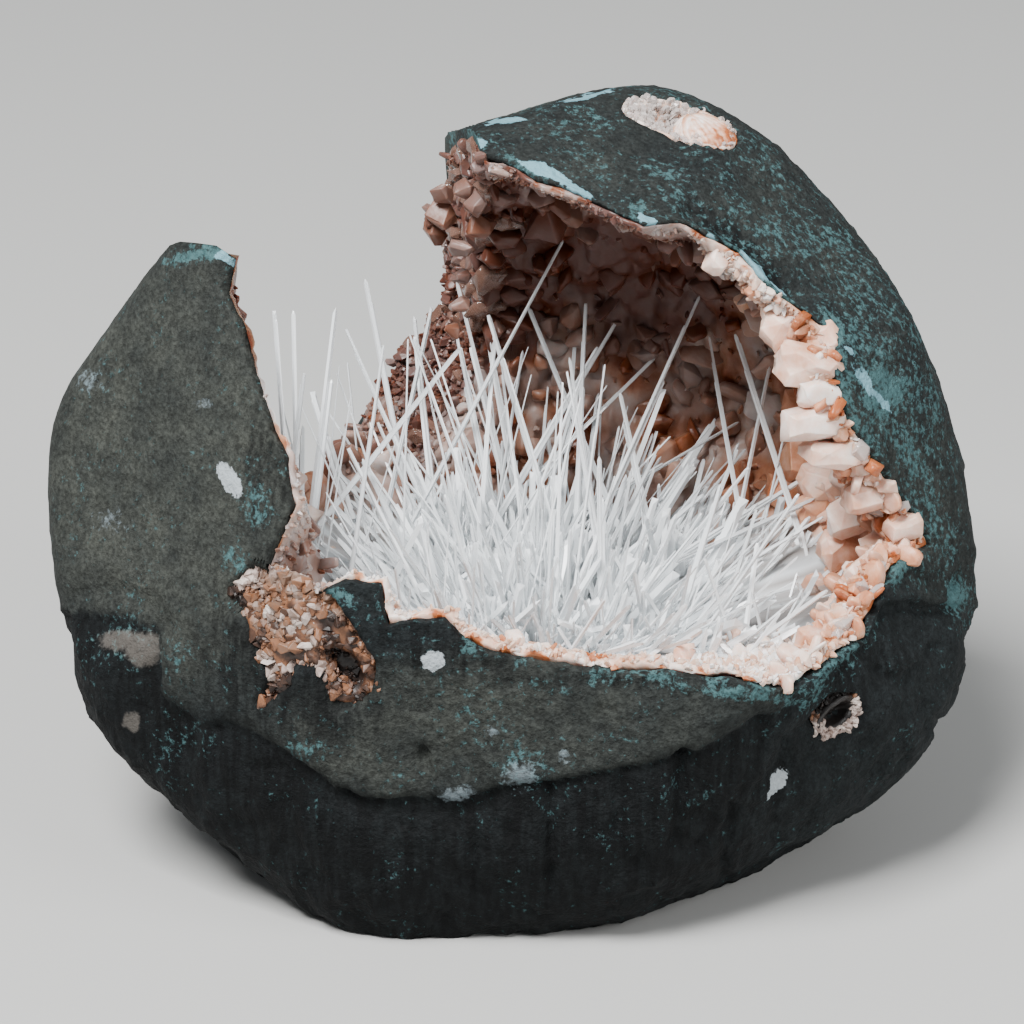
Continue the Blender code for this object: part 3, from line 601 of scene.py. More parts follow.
def dressing(points, below):
    """The outside's relief in millimetres: flake scars, chisel grooves, ledges and pits."""
    spots = seen(points)
    facing = smooth(points[:, 2], -14, -4)
    band_distance, band_side = segment_distance(spots, BAND_EDGE)
    under_band = smooth(-band_side * band_distance, -0.4, 0.6) * facing
    left_face = blob(spots, -45, 2, 16, 24) * facing
    wild = np.clip(0.35 + 0.65 * under_band + 0.3 * (1 - facing) - 0.3 * left_face, 0.12, 1)
    nearest, second = cells(points, 12.0)
    scar = 1.5 * (nearest ** 2 - 0.18) + 0.35 * smooth(0.09 - (second - nearest), 0, 0.09)
    relief = wild * (0.55 * scar + 0.36 * field(points, 6.0, 1.3, 4))
    hackly = 0.16 - np.abs(field(points, 7.0, 6.6, 3))
    relief += 0.9 * wild * hackly
    relief += 0.18 * field(points, 2.0, 5.2, 3) * (0.5 + wild)
    relief += 0.35 * field(points, 9.0, 8.8) * wild
    ledge = field(points * (0.35, 1.0, 0.5), 3.4, 9.9)
    ledges = smooth(spots[:, 0], 30, 40) * smooth(-spots[:, 1], 6, 12) * facing
    relief += 0.5 * ledges * (smooth(ledge, -0.12, 0.06) - 0.6)
    striped = points * (1.0, 0.16, 0.16)
    in_front = under_band * smooth(points[:, 2], 14, 24)
    relief += in_front * (0.16 * field(striped, 1.1, 3.3) + 0.30 * field(striped, 3.2, 6.3))
    relief += 0.9 * (0.4 - under_band) * smooth(-band_distance, -7, -0.3) * facing
    for line, half_width, depth in GROOVES:
        distance, _ = segment_distance(spots, line)
        relief -= depth * np.exp(-(distance / half_width) ** 2) * facing
    for across, up, half_length, half_width, depth, turn in PITS:
        relief -= depth * blob(spots, across, up, half_length, half_width, turn, 0.4) * facing
    relief = np.where(relief > 0.3, 0.3 + 0.4 * np.tanh((relief - 0.3) / 0.4), relief)
    relief = relief * smooth(np.degrees(below), -0.5, 2.5)
    for name, pocket in POCKETS.items():
        inside = in_pocket(points, name) * facing
        relief = relief * (1 - inside) - (pocket[4] + 0.3) * inside
    return relief


def rock_outside(ways, below):
    radius = rock_radius(ways)
    radius = radius + dressing(ways * radius[:, None], below)
    return np.minimum(radius, base_radius(ways))


def jag(turns):
    """How far the rock's edge wanders from the break line, as an angle."""
    at_rim = directions(turns, rim_fall(turns)) * RIM_REACH
    return RIM_JAG * (field(at_rim, 2.6, 6.1) + 0.6 * field(at_rim, 1.1, 2.7)) / RIM_REACH


def proud(turns):
    """How far the crust's edge stands past the break line, as an angle."""
    at_rim = directions(turns, rim_fall(turns)) * RIM_REACH
    least, most = RIM_PROUD
    share = smooth(field(at_rim, 2.2, 1.9) + 0.5 * field(at_rim, 0.9, 4.9), -0.6, 0.7)
    return (least + (most - least) * share) / RIM_REACH


# Colour on the rock, by what it is: across, up, half length, half width, turn and strength.
ROCK_MARKS = {
    "olive": [
        (-44, 2, 20, 26, 0, 1.0), (-8, -30, 30, 9, 8, 0.68), (16, -30, 14, 5, 12, 0.55),
        (-38, 20, 9, 8, 0, 0.5),
    ],
    "dark": [
        (-30, -24, 11, 8, -30, 0.75), (-33, -3, 3, 10, 10, 0.6), (-13, -21, 10, 3.4, -8, 0.7),
        (24, 27, 8, 1.8, -42, 1.0), (12, -25, 18, 1.0, 0, 0.5), (-30, -42, 16, 6, -30, 0.7),
        (38, -24, 6, 5, 40, 0.4),
    ],
    "film": [
        (37.8, 11.3, 7.5, 2.8, 105, 0.6), (44.3, -1.1, 2.8, 1.8, 60, 0.45), (40.6, 9.4, 3.4, 3.0, 80, 0.95),
        (50.0, -14.8, 1.4, 2.4, 0, 0.9), (34.6, 16.5, 3.0, 1.4, 120, 0.7), (41.0, 18.0, 12, 5, 118, 0.45),
        (36, 30, 9, 5, -45, 0.40), (24, 37, 11, 5, -30, 0.30), (45, 6, 4.0, 15, 0, 0.42),
        (14, 36, 4, 1.4, -20, 0.5), (22.2, -26.6, 9, 1.0, -6, 0.70), (-37.2, -10.8, 1.6, 2.2, 20, 0.5),
        (-37.1, -16.1, 1.4, 1.1, 0, 0.7), (-24.5, -15.4, 2.6, 1.3, -20, 0.75), (-34.4, -4.4, 2.0, 2.4, 0, 0.65),
        (-30.8, -9.0, 1.2, 1.0, 0, 0.6), (-41.0, 26.0, 5.0, 1.0, 14, 0.75), (-37.6, -0.6, 3.2, 4.2, 15, 0.25),
        (-29.0, -33.5, 2.0, 1.4, 0, 0.5), (-2.5, -36.0, 3.4, 3.0, 0, 0.45), (-44.0, -32.0, 5.0, 3.0, 0, 0.28),
        (1.0, -26.0, 3.0, 1.2, 0, 0.4), (33, -26, 5, 2.4, 30, 0.5), (36, -22, 5, 2, 40, 0.55),
        (-52, -21, 5, 3.4, 0, 0.35), (44.2, 1.2, 5.5, 1.6, -58, 0.7), (11.1, 31.6, 1.1, 1.1, 0, 0.7),
    ],
    "clean": [
        (0.0, 35.8, 3.4, 0.8, -22, 1.0), (3.4, 33.9, 2.6, 0.45, -28, 1.0), (25.0, 24.5, 2.6, 1.2, -40, 1.0),
        (28.6, 22.1, 2.6, 0.4, -30, 1.0), (12.6, 29.9, 2.0, 0.35, -30, 1.0), (21.0, 27.2, 2.2, 0.5, -28, 1.0),
        (-8.0, 38.9, 1.3, 0.5, 18, 1.0), (-4.8, 41.9, 3.6, 0.3, 6, 0.9), (4.8, 44.7, 4.0, 0.3, 14, 0.9),
        (-38.5, 26.0, 1.6, 0.6, 20, 0.9), (38.4, 10.6, 3.8, 0.9, -60, 0.72), (40.6, 8.2, 2.6, 0.8, -52, 0.72),
        (36.4, 14.2, 1.8, 0.5, -50, 0.7),
    ],
    "white": [
        (-37.9, -1.1, 2.3, 1.1, -62, 1.0), (-13.4, -22.9, 1.4, 1.2, 0, 1.0), (27.9, -37.8, 2.0, 0.8, 48, 1.0),
    ],
    "chalk": [
        (-51.6, -20.6, 3.0, 1.2, 4, 1.0), (-48.6, -21.6, 2.4, 2.0, -40, 1.0), (-49.8, -30.4, 0.9, 1.5, 20, 1.0),
    ],
    "pale": [
        (-54.6, 10.8, 1.8, 2.2, 40, 0.66), (-52.2, -6.0, 2.2, 1.6, 0, 0.66), (-10.8, -39.0, 2.2, 1.3, 10, 1.0),
        (-3.0, -36.6, 2.2, 1.8, 30, 1.0), (-41.0, 7.8, 1.1, 1.1, 0, 0.66), (-6.4, -31.6, 0.9, 0.8, 0, 0.9),
        (2.4, -34.2, 1.0, 0.8, 0, 0.8), (11.1, 31.6, 0.7, 0.7, 0, 0.5),
    ],
}

# These rise to their middle, and the material cuts their edge.
CONE_MARKS = ("chalk", "clean", "pale", "white")


def rock_colours(made):
    """Paints olive weathering, dark newly broken rock, painted shade under the band edge, blue-green film, clean
    film and white amygdules.
    """
    points = leaning_points(made)
    radius = np.linalg.norm(points, axis=1)
    ways = points / radius[:, None]
    level = rock_radius(ways)
    spots = seen(ways * level[:, None])
    spots = spots + np.column_stack([field(points, 1.8, 14.0, 2), field(points, 1.8, 15.0, 2)]) * 0.35
    outside = smooth(radius - level, -2.6, -1.6)
    facing = smooth(ways[:, 2], -0.3, -0.1)
    layers = {}
    for name, marks in ROCK_MARKS.items():
        layers[name] = np.zeros(len(points))
        for *outline, strength in marks:
            if name in CONE_MARKS:
                mark = np.clip(1 - 0.5 * ellipse(spots, *outline), 0, 1)
            else:
                mark = blob(spots, *outline, 0.5)
            layers[name] = np.maximum(layers[name], mark * strength * facing)
    # Painted shade: the face under the band edge, which faces down, is painted dark, with less olive and less
    # film.
    band_distance, band_side = segment_distance(spots, BAND_EDGE)
    under_band = smooth(-band_side * band_distance, -0.6, 0.8) * facing * (1 - 0.85 * smooth(spots[:, 0], 18, 36))
    hood = smooth(points[:, 0] + 1.2 * points[:, 1], 18, 40)
    unseen = 1 - facing
    wander = field(points, 16.0, 12.0, 2)
    olive = np.clip(layers["olive"] + 0.45 * unseen + 0.42 * hood + 0.25 * wander, 0, 1)
    layers["olive"] = olive * (1 - 0.92 * under_band)
    layers["dark"] = np.clip(layers["dark"] + under_band, 0, 1)
    film = 0.30 * hood * (1 - under_band) + 0.22 * unseen * (1 - hood) + 0.26 * wander
    layers["film"] = np.maximum(layers["film"], np.clip(film, 0.05, 1) * (1 - 0.7 * under_band))
    below = np.degrees(below_break(ways))
    film_rim = smooth(-below, -3.2, -0.6) * smooth(field(points, 7.0, 4.0, 2), -0.25, 0.45)
    film_rim = film_rim * (1 - smooth(-ways[:, 0], 0.5, 0.7))
    layers["film"] = np.maximum(layers["film"], 0.75 * film_rim)
    layers["film"] *= 0.25 + 0.75 * outside
    paint(made, **layers)


def add(tree, kind, inputs=None, **settings):
    """Adds a node. Settings are its properties. Inputs are values, outputs, or nodes for their output in use."""
    made = tree.nodes.new(kind)
    for name, value in settings.items():
        setattr(made, name, value)
    for name, value in (inputs or {}).items():
        socket = made.inputs[name]
        if isinstance(value, bpy.types.Node):
            value = next(output for output in value.outputs if output.enabled)
        if isinstance(value, bpy.types.NodeSocket):
            tree.links.new(value, socket)
        else:
            socket.default_value = value
    return made


def material(name, surface):
    """A material of this name. surface adds its nodes to the tree and gives the surface's inputs."""
    made = bpy.data.materials.new(name)
    made.use_nodes = True
    tree = made.node_tree
    tree.nodes.clear()
    shader = add(tree, "ShaderNodeBsdfPrincipled", surface(tree))
    add(tree, "ShaderNodeOutputMaterial", {"Surface": shader})
    return made


def painted(tree, *names):
    """The numbers painted on the points, by name."""
    return {name: add(tree, "ShaderNodeAttribute", attribute_name=name).outputs["Fac"] for name in names}


def per_mm(size):
    """The noise scale that gives features of this size in millimetres."""
    return 1.0 / (size * MM)


def basalt(tree):
    """Basalt, broken and weathered: matt, fine-grained, charcoal where newly broken and olive grey where old,
    with painted shade: near black under the band edge and darker in its dents.

    Over it lie blue-green celadonite, as flecks and as a clean film, and white and chalky amygdules.
    """
    place = add(tree, "ShaderNodeTexCoord").outputs["Object"]
    tall = add(tree, "ShaderNodeMapping", {"Vector": place, "Scale": (1.0, 1.0, 0.1)})
    parts = painted(tree, *ROCK_MARKS)
    for name, where, size, detail, roughness, distortion in (
            ("grain", place, 0.5, 3.0, 0.65, 0.0), ("mottle", place, 4.5, 4.0, 0.62, 0.0),
            ("dents", place, 1.4, 3.0, 0.62, 0.0), ("streak", tall, 1.1, 3.0, 0.6, 0.0),
            ("flecks", place, 0.8, 4.0, 0.72, 0.3), ("patches", place, 6.0, 3.0, 0.5, 0.0)):
        parts[name] = add(tree, "ShaderNodeTexNoise", {
            "Vector": where, "Scale": per_mm(size), "Detail": detail, "Roughness": roughness,
            "Distortion": distortion})

    def part(name):
        """A part by its name, a colour by its code, or a number as it is."""
        return linear(name) if str(name).startswith("#") else parts.get(name, name)

    # Each is the first times the second, plus the third.
    for name, *terms in (
            ("age", "olive", "mottle", -0.06), ("fresh_and_shade", "dark", 0.80, 0.0), ("tinged", "film", 0.32, "flecks"),
            ("spread", "patches", 0.35, "tinged"), ("wander", "flecks", 0.5, -0.25),
            ("scatter", "flecks", 1.6, -0.8), ("clean", "clean", 1.0, "wander"), ("pale", "pale", 1.0, "scatter"),
            ("chalk", "chalk", 1.0, "wander"), ("white", "white", 1.0, "wander")):
        parts[name] = add(tree, "ShaderNodeMath", {k: part(term) for k, term in enumerate(terms)},
                          operation="MULTIPLY_ADD")
    # Smooth steps: from low to high, the value goes from the least to the most. dent shade darkens the colour
    # where the dents' bump sinks: painted shade in the dents.
    for name, value, low, high, least, most in (
            ("streak shade", "streak", 0.38, 0.62, 0.4, 2.2), ("grain shade", "grain", 0.30, 0.70, 0.62, 1.35),
            ("dent shade", "dents", 0.34, 0.60, 0.78, 1.10), ("flecked", "spread", 0.80, 0.96, 0.0, 0.85),
            ("clean", "clean", 0.48, 0.56, 0.0, 1.0), ("pale", "pale", 0.42, 0.80, 0.0, 0.5),
            ("chalk", "chalk", 0.46, 0.66, 0.0, 0.5), ("white", "white", 0.47, 0.54, 0.0, 1.0)):
        parts[name] = add(tree, "ShaderNodeMapRange", {
            "Value": part(value), "From Min": low, "From Max": high, "To Min": least, "To Max": most},
            interpolation_type="SMOOTHSTEP")
    # Colours: how much of the second lies over the first. The near black laid where dark is painted is newly
    # broken rock, and painted shade under the band edge.
    for name, amount, below, above, blend in (
            ("rock", "age", "#161a1b", "#444640", "MIX"), ("streaks", "dark", "#ffffff", "streak shade", "MIX"),
            ("rock", 1.0, "rock", "grain shade", "MULTIPLY"), ("rock", 1.0, "rock", "streaks", "MULTIPLY"),
            ("rock", 1.0, "rock", "dent shade", "MULTIPLY"), ("rock", "fresh_and_shade", "rock", "#040506", "MIX"),
            ("tint", "grain", "#1b3132", "#54797c", "MIX"), ("rock", "flecked", "rock", "tint", "MIX"),
            ("film", "mottle", "#587e89", "#7aa2ac", "MIX"), ("rock", "clean", "rock", "film", "MIX"),
            ("rock", "pale", "rock", "#78848a", "MIX"),
            ("dust", "mottle", "#4a453e", "#7c7772", "MIX"), ("rock", "chalk", "rock", "dust", "MIX"),
            ("zeolite", "grain", "#7f878c", "#aab1b4", "MIX"), ("rock", "white", "rock", "zeolite", "MIX")):
        parts[name] = add(tree, "ShaderNodeMix", {"Factor": part(amount), "A": part(below), "B": part(above)},
                          data_type="RGBA", blend_type=blend)
    dents = add(tree, "ShaderNodeBump", {"Height": parts["dents"], "Strength": 1.0, "Distance": 0.55 * MM})
    bump = add(tree, "ShaderNodeBump", {
        "Height": parts["grain"], "Strength": 0.8, "Distance": 0.16 * MM, "Normal": dents})
    return {"Base Color": parts["rock"], "Roughness": 0.8, "IOR": 1.5, "Specular IOR Level": 0.15, "Normal": bump}


def toned(tree, size, detail, roughness, share, stops):
    """A colour that goes through these stops with the painted tone and a mottle of this size, and the mottle."""
    place = add(tree, "ShaderNodeTexCoord").outputs["Object"]
    mottle = add(tree, "ShaderNodeTexNoise", {
        "Vector": place, "Scale": per_mm(size), "Detail": detail, "Roughness": roughness})
    mixed = add(tree, "ShaderNodeMath", {0: mottle, 1: share, 2: painted(tree, "tone")["tone"]},
                operation="MULTIPLY_ADD")
    ramp = add(tree, "ShaderNodeValToRGB", {"Fac": mixed})
    elements = ramp.color_ramp.elements
    elements.remove(elements[1])
    for k, (position, code) in enumerate(stops):
        stop = elements.new(position) if k else elements[0]
        stop.position, stop.color = position, linear(code)
    return ramp, mottle


def stilbite(tree):
    """Stilbite: pearly, slightly see-through crystals, white to salmon, orange brown where iron stained, and
    painted shade that darkens them to a dark brown where the hollow lies in shadow.
    """
    ramp, _ = toned(tree, 3.0, 4.0, 0.6, 0.7, (
        (0.32, "#f8f2ee"), (0.46, "#efdbd0"), (0.62, "#e0bba8"), (0.80, "#cd9474"), (0.98, "#a05a34")))
    # Painted shade: the painted number darkens the crystals towards dark brown where they lie in shadow.
    shaded = add(tree, "ShaderNodeMix", {
        "Factor": painted(tree, "deep")["deep"], "A": ramp, "B": linear("#431505")}, data_type="RGBA")
    place = add(tree, "ShaderNodeTexCoord").outputs["Object"]
    fine = add(tree, "ShaderNodeTexNoise", {"Vector": place, "Scale": per_mm(0.5), "Detail": 3.0})
    bump = add(tree, "ShaderNodeBump", {"Height": fine, "Strength": 0.35, "Distance": 0.12 * MM})
    return {"Base Color": shaded, "Roughness": 0.34, "IOR": 1.5, "Specular IOR Level": 0.35,
            "Subsurface Weight": 0.35, "Subsurface Radius": (1.0, 0.55, 0.4), "Subsurface Scale": 1.6 * MM,
            "Normal": bump}


def scolecite(tree):
    """Scolecite: glassy prisms, clear at the tips and milky white where they crowd at the foot."""
    marks = painted(tree, "milk", "stain")
    clear = add(tree, "ShaderNodeMapRange", {"Value": marks["milk"], "To Min": 0.7, "To Max": 0.0})
    body = add(tree, "ShaderNodeMix", {
        "Factor": marks["stain"], "A": linear("#f8fcfe"), "B": linear("#7d675a")}, data_type="RGBA")
    return {"Base Color": body, "Roughness": 0.22, "IOR": 1.51, "Transmission Weight": clear}


def clear_stilbite(tree):
    """Clear stilbite and scolecite stubs: glass with a faint pink body, browner in the shade."""
    body = add(tree, "ShaderNodeMix", {
        "Factor": painted(tree, "deep")["deep"], "A": linear("#eee4df"), "B": linear("#936a58")},
        data_type="RGBA")
    return {"Base Color": body, "Roughness": 0.12, "IOR": 1.5, "Transmission Weight": 0.6}


def vein_filling(tree):
    """Weathered vein filling: granular, from white through ochre to dark brown."""
    ramp, mottle = toned(tree, 2.2, 5.0, 0.65, 0.6, (
        (0.20, "#c9beb4"), (0.34, "#94827a"), (0.46, "#6c5445"), (0.56, "#7c5237"), (0.66, "#4c3122"),
        (0.82, "#24150d"), (1.0, "#0e0806")))
    bump = add(tree, "ShaderNodeBump", {"Height": mottle, "Strength": 0.5, "Distance": 0.3 * MM})
    return {"Base Color": ramp, "Roughness": 0.5, "IOR": 1.5, "Normal": bump}


def bevel_edges(mesh, bevel, segments):
    """Bevels the edges of a small mesh, and cuts faces with many corners into triangles."""
    if bevel:
        bmesh.ops.bevel(mesh, geom=mesh.edges[:], offset=bevel, segments=segments, affect="EDGES", profile=0.6,
                        clamp_overlap=True)
    bmesh.ops.triangulate(mesh, faces=[f for f in mesh.faces if len(f.verts) > 4])


def template(mesh):
    """The points and faces of a small mesh, which is then freed."""
    points = np.array([v.co[:] for v in mesh.verts])
    mesh.verts.index_update()
    faces = [tuple(v.index for v in f.verts) for f in mesh.faces]
    mesh.free()
    return points, faces


def chip_template(corners, bevel, segments, chance):
    """A broken crystal block with flat faces, one unit wide, thick and long (along Z, from 0)."""
    mesh = bmesh.new()
    spots = unit(chance.normal(0, 1, (corners, 3)))
    spots = spots / ((np.abs(spots) ** 5).sum(axis=1) ** 0.2)[:, None]
    for spot in spots * 0.5 + (0, 0, 0.5):
        mesh.verts.new(spot)
    hull = bmesh.ops.convex_hull(mesh, input=mesh.verts)
    bmesh.ops.delete(mesh, geom=hull["geom_interior"], context="VERTS")
    bmesh.ops.dissolve_limit(mesh, angle_limit=math.radians(16), verts=mesh.verts, edges=mesh.edges)
    bevel_edges(mesh, bevel, segments)
    bmesh.ops.recalc_face_normals(mesh, faces=mesh.faces)
    return template(mesh)


def crystal_frames(ways, rolls):
    """Two side directions for each crystal, turned about its length."""
    helper = np.tile((0.31, 0.17, 0.93), (len(ways), 1))
    first = unit(np.cross(ways, helper))
    second = np.cross(ways, first)
    cos, sin = np.cos(rolls)[:, None], np.sin(rolls)[:, None]
    return first * cos + second * sin, second * cos - first * sin


NEEDLE_FACES = [(0, 1, 5, 4), (1, 2, 6, 5), (2, 3, 7, 6), (3, 0, 4, 7), (3, 2, 1, 0),
                (4, 5, 8), (5, 6, 9), (5, 9, 8), (6, 7, 9), (7, 4, 8), (7, 8, 9)]


def repeated(pattern, points, count):
    """The faces of so many copies of a pattern that has this many points."""
    return [tuple(start + k for k in face) for start in range(0, points * count, points) for face in pattern]


def needles(name, roots, tips, widths, rolls, blunt, flat=0.72, taper=0.8):
    """Slender four-sided prisms with chisel ends. blunt is how much of the width the end keeps."""
    ways = (tips - roots) / np.linalg.norm(tips - roots, axis=1)[:, None]
    side, other = crystal_frames(ways, rolls)
    half = 0.5 * widths[:, None]
    corners = [side * half, other * half * flat, -side * half, -other * half * flat]
    low = [roots + c for c in corners]
    shoulder = tips - ways * widths[:, None] * 0.75
    high = [shoulder + c * taper for c in corners]
    edge = [tips + c * taper * blunt[:, None] for c in (corners[0], corners[2])]
    points = np.stack(low + high + edge, axis=1)
    faces = repeated(NEEDLE_FACES, points.shape[1], len(roots))
    return make_object(name, points.reshape(-1, 3), faces, smooth_shaded=False)


def blade_template(widths, heights, bevel, segments=1):
    """A tablet one unit long along Z and one unit thick, whose half width changes with height."""
    mesh = bmesh.new()
    outline = list(zip(widths, heights))
    ring = outline + [(-w, z) for w, z in reversed(outline)]
    rows = [[mesh.verts.new((x, y * (1.0 - 0.45 * z ** 3), z)) for x, z in ring] for y in (-0.5, 0.5)]
    mesh.faces.new(rows[0])
    mesh.faces.new(rows[1][::-1])
    for k in range(len(ring)):
        m = (k + 1) % len(ring)
        mesh.faces.new((rows[0][m], rows[0][k], rows[1][k], rows[1][m]))
    bmesh.ops.recalc_face_normals(mesh, faces=mesh.faces)
    bevel_edges(mesh, bevel, segments)
    return template(mesh)


def copies(name, template, roots, ways, rolls, sizes, smooth_shaded=True, uneven=0.0, **values):
    """Joined copies of a template. sizes are width, thickness and length of each, and values are painted."""
    side, other = crystal_frames(ways, rolls)
    points, pattern = template
    placed = roots[:, None, :] + sum(points[None, :, k, None] * (sizes[:, k, None] * axis)[:, None, :]
                                     for k, axis in enumerate((side, other, ways)))
    if uneven:
        away = placed - (roots + ways * sizes[:, 2:] * 0.5)[:, None, :]
        bulge = field(placed.reshape(-1, 3), 1.9, 5.5, 2).reshape(len(roots), -1, 1)
        placed = placed + away * bulge * uneven
    count = len(points)
    made = make_object(name, placed.reshape(-1, 3), repeated(pattern, count, len(roots)), smooth_shaded)
    paint(made, **{value: np.repeat(numbers, count) for value, numbers in values.items()})
    return made


def drawn(chance, count, *ranges):
    """For each of so many, a number from each of these ranges."""
    return np.column_stack([chance.uniform(least, most, count) for least, most in ranges])


def join(name, objects):
    """Joins objects into the first."""
    with bpy.context.temp_override(active_object=objects[0], selected_editable_objects=objects,
                                   selected_objects=objects):
        bpy.ops.object.join()
    objects[0].name = name
    return objects[0]


def crust_detail(points, ways, below):
    """Lumps of crowded crystals on the crust's inner face, in millimetres inwards."""
    big, middle, small = (cells(points, length)[0] for length in (4.6, 2.4, 1.2))
    below = np.degrees(below)
    inside = smooth(below, 6, 18)
    lumps = inside * 1.5 * np.sqrt(np.maximum(0.75 - big, 0)) + 0.85 * np.sqrt(np.maximum(0.8 - middle, 0))
    lumps += 0.4 * (0.6 - small) + 0.25 * field(points, 0.9, 3.9)
    thin = smooth(crust_width(ways), 0.3, 2.2)
    return ((1 - 0.95 * bare_lobe(ways, below)) * (1 - 0.6 * floor_share(ways)) * lumps
            * (thin + (1 - thin) * inside) * (0.45 + 0.55 * smooth(below, -1, 4)))


def crust_brow(points, share):
    """How far the crust's broken edge swells out between the rock and the hollow."""
    thin = smooth(crust_width(unit(points)), 0.3, 2.2)
    small, _ = cells(points, 1.3)
    swell = BROW_HEIGHT * math.sin(math.pi * share) + 0.5 * (0.6 - small) + 0.3 * field(points, 1.7, 8.3, 2)
    return (0.3 + 0.7 * thin) * swell


def crust_inside(ways, below):
    radius = crust_radius(ways, below)
    return radius - crust_detail(ways * radius[:, None], ways, below)


def crust_tones(points):
    """How warm the crust's crystals are at these points, and how far painted shade darkens them to dark brown,
    which at the hood's rim also stands for a real brown line.
    """
    across, up = seen(points).T
    spots = seen(points)
    near = smooth(points[:, 2], 0, 6)
    radius = np.linalg.norm(points, axis=1)
    ways = points / radius[:, None]
    below = np.degrees(below_break(ways))
    inside = smooth(below, 6, 26)
    # Places on the crust, each 1 in its middle: the broken edge at the right, the hood's left end, the
    # front rim, the left of the front, the back wall, the roof, the far rim and the hood.
    right = smooth(across, 22, 32) * (1 - inside) * smooth(up, -24, -18)
    left_end = smooth(-across, 1, 8) * smooth(up, 12, 20)
    front = smooth(-up, 12, 18) * near * (1 - smooth(across, 18, 26))
    left_front = smooth(-across, 22, 26) * near
    back = inside * smooth(-points[:, 2], -6, 12) * smooth(up, -14, 4)
    roof = inside * smooth(points[:, 1], 14, 24)
    far_rim = (1 - inside) * smooth(-points[:, 2], 2, 8) * (1 - smooth(across, -4, 4))
    high = smooth(points[:, 1], 8, 16)
    hood = high * smooth(across, -10, -4)

    tone = 0.12 + 0.22 * field(points, 6.0, 2.0, 2) + 0.10 * inside
    contact = smooth(radius - (wall_radius(ways, np.radians(below)) - 0.3), -0.3, 0.2)
    contact = contact * (1 - bare_lobe(ways))
    tone = tone + 0.5 * contact * smooth(field(points, 2.2, 5.0, 2), 0.05, 0.4)
    tone = tone + 0.16 * right + 0.25 * right * smooth(field(points, 4.0, 15.0, 2), 0.0, 0.4)
    tone = np.maximum(tone, 0.72 * blob(spots, 6.5, -21.0, 2.0, 1.8) * smooth(points[:, 2], 0, 8))
    tone = tone + 0.06 * left_end + 0.12 * front
    tone = tone + 0.40 * back * smooth(field(points, 5.0, 7.7), -0.1, 0.4)
    tone = tone + 0.10 * blob(spots, 37, -12, 7, 9, 0, 0.6)

    # Painted shade: the hollow's inside, back wall and roof, the hood's left end, the far rim and the left front
    # are darkened because they lie in shadow; on the hood's rim the same number also gives a real orange-brown
    # line.
    deep = 0.38 * inside + 0.30 * back + 0.42 * roof + 0.98 * left_end + 0.85 * far_rim
    deep = deep + 0.30 * field(points, 7.0, 6.0, 2) + 0.88 * high * (1 - inside)
    deep = deep - 0.22 * inside * smooth(across, 16, 28) + 0.60 * left_front
    deep = deep - 0.40 * blob(spots, -9.6, 18.0, 3.2, 7.0, 0, 0.6) * inside
    # The painted shade starts some way below the break, and right at it in the darkest places.
    start = smooth(below, 3 - 2.2 * hood, 14 - 8 * hood)
    start = np.maximum(start, hood * smooth(below, -4.5, -1.0) * (1 - 0.75 * smooth(across, 15, 22)))
    start = np.maximum(start, np.maximum(np.maximum(left_end, far_rim), left_front))
    return np.clip(tone, 0, 1), np.clip(deep, 0, 0.95) * start


def faces_of(made):
    """Middle, outward direction and area of each face, in the leaning view."""
    polygons = made.data.polygons
    middle, normal, area = np.empty(len(polygons) * 3), np.empty(len(polygons) * 3), np.empty(len(polygons))
    polygons.foreach_get("center", middle)
    polygons.foreach_get("normal", normal)
    polygons.foreach_get("area", area)
    sin, cos = math.sin(math.radians(VIEW_LEAN)), math.cos(math.radians(VIEW_LEAN))
    turned = []
    for flat in (middle.reshape(-1, 3) / MM - MIDDLE, normal.reshape(-1, 3)):
        x, y, z = flat.T
        turned.append(np.column_stack([x, y * sin + z * cos, z * sin - y * cos]))
    return turned[0], turned[1], area / MM ** 2


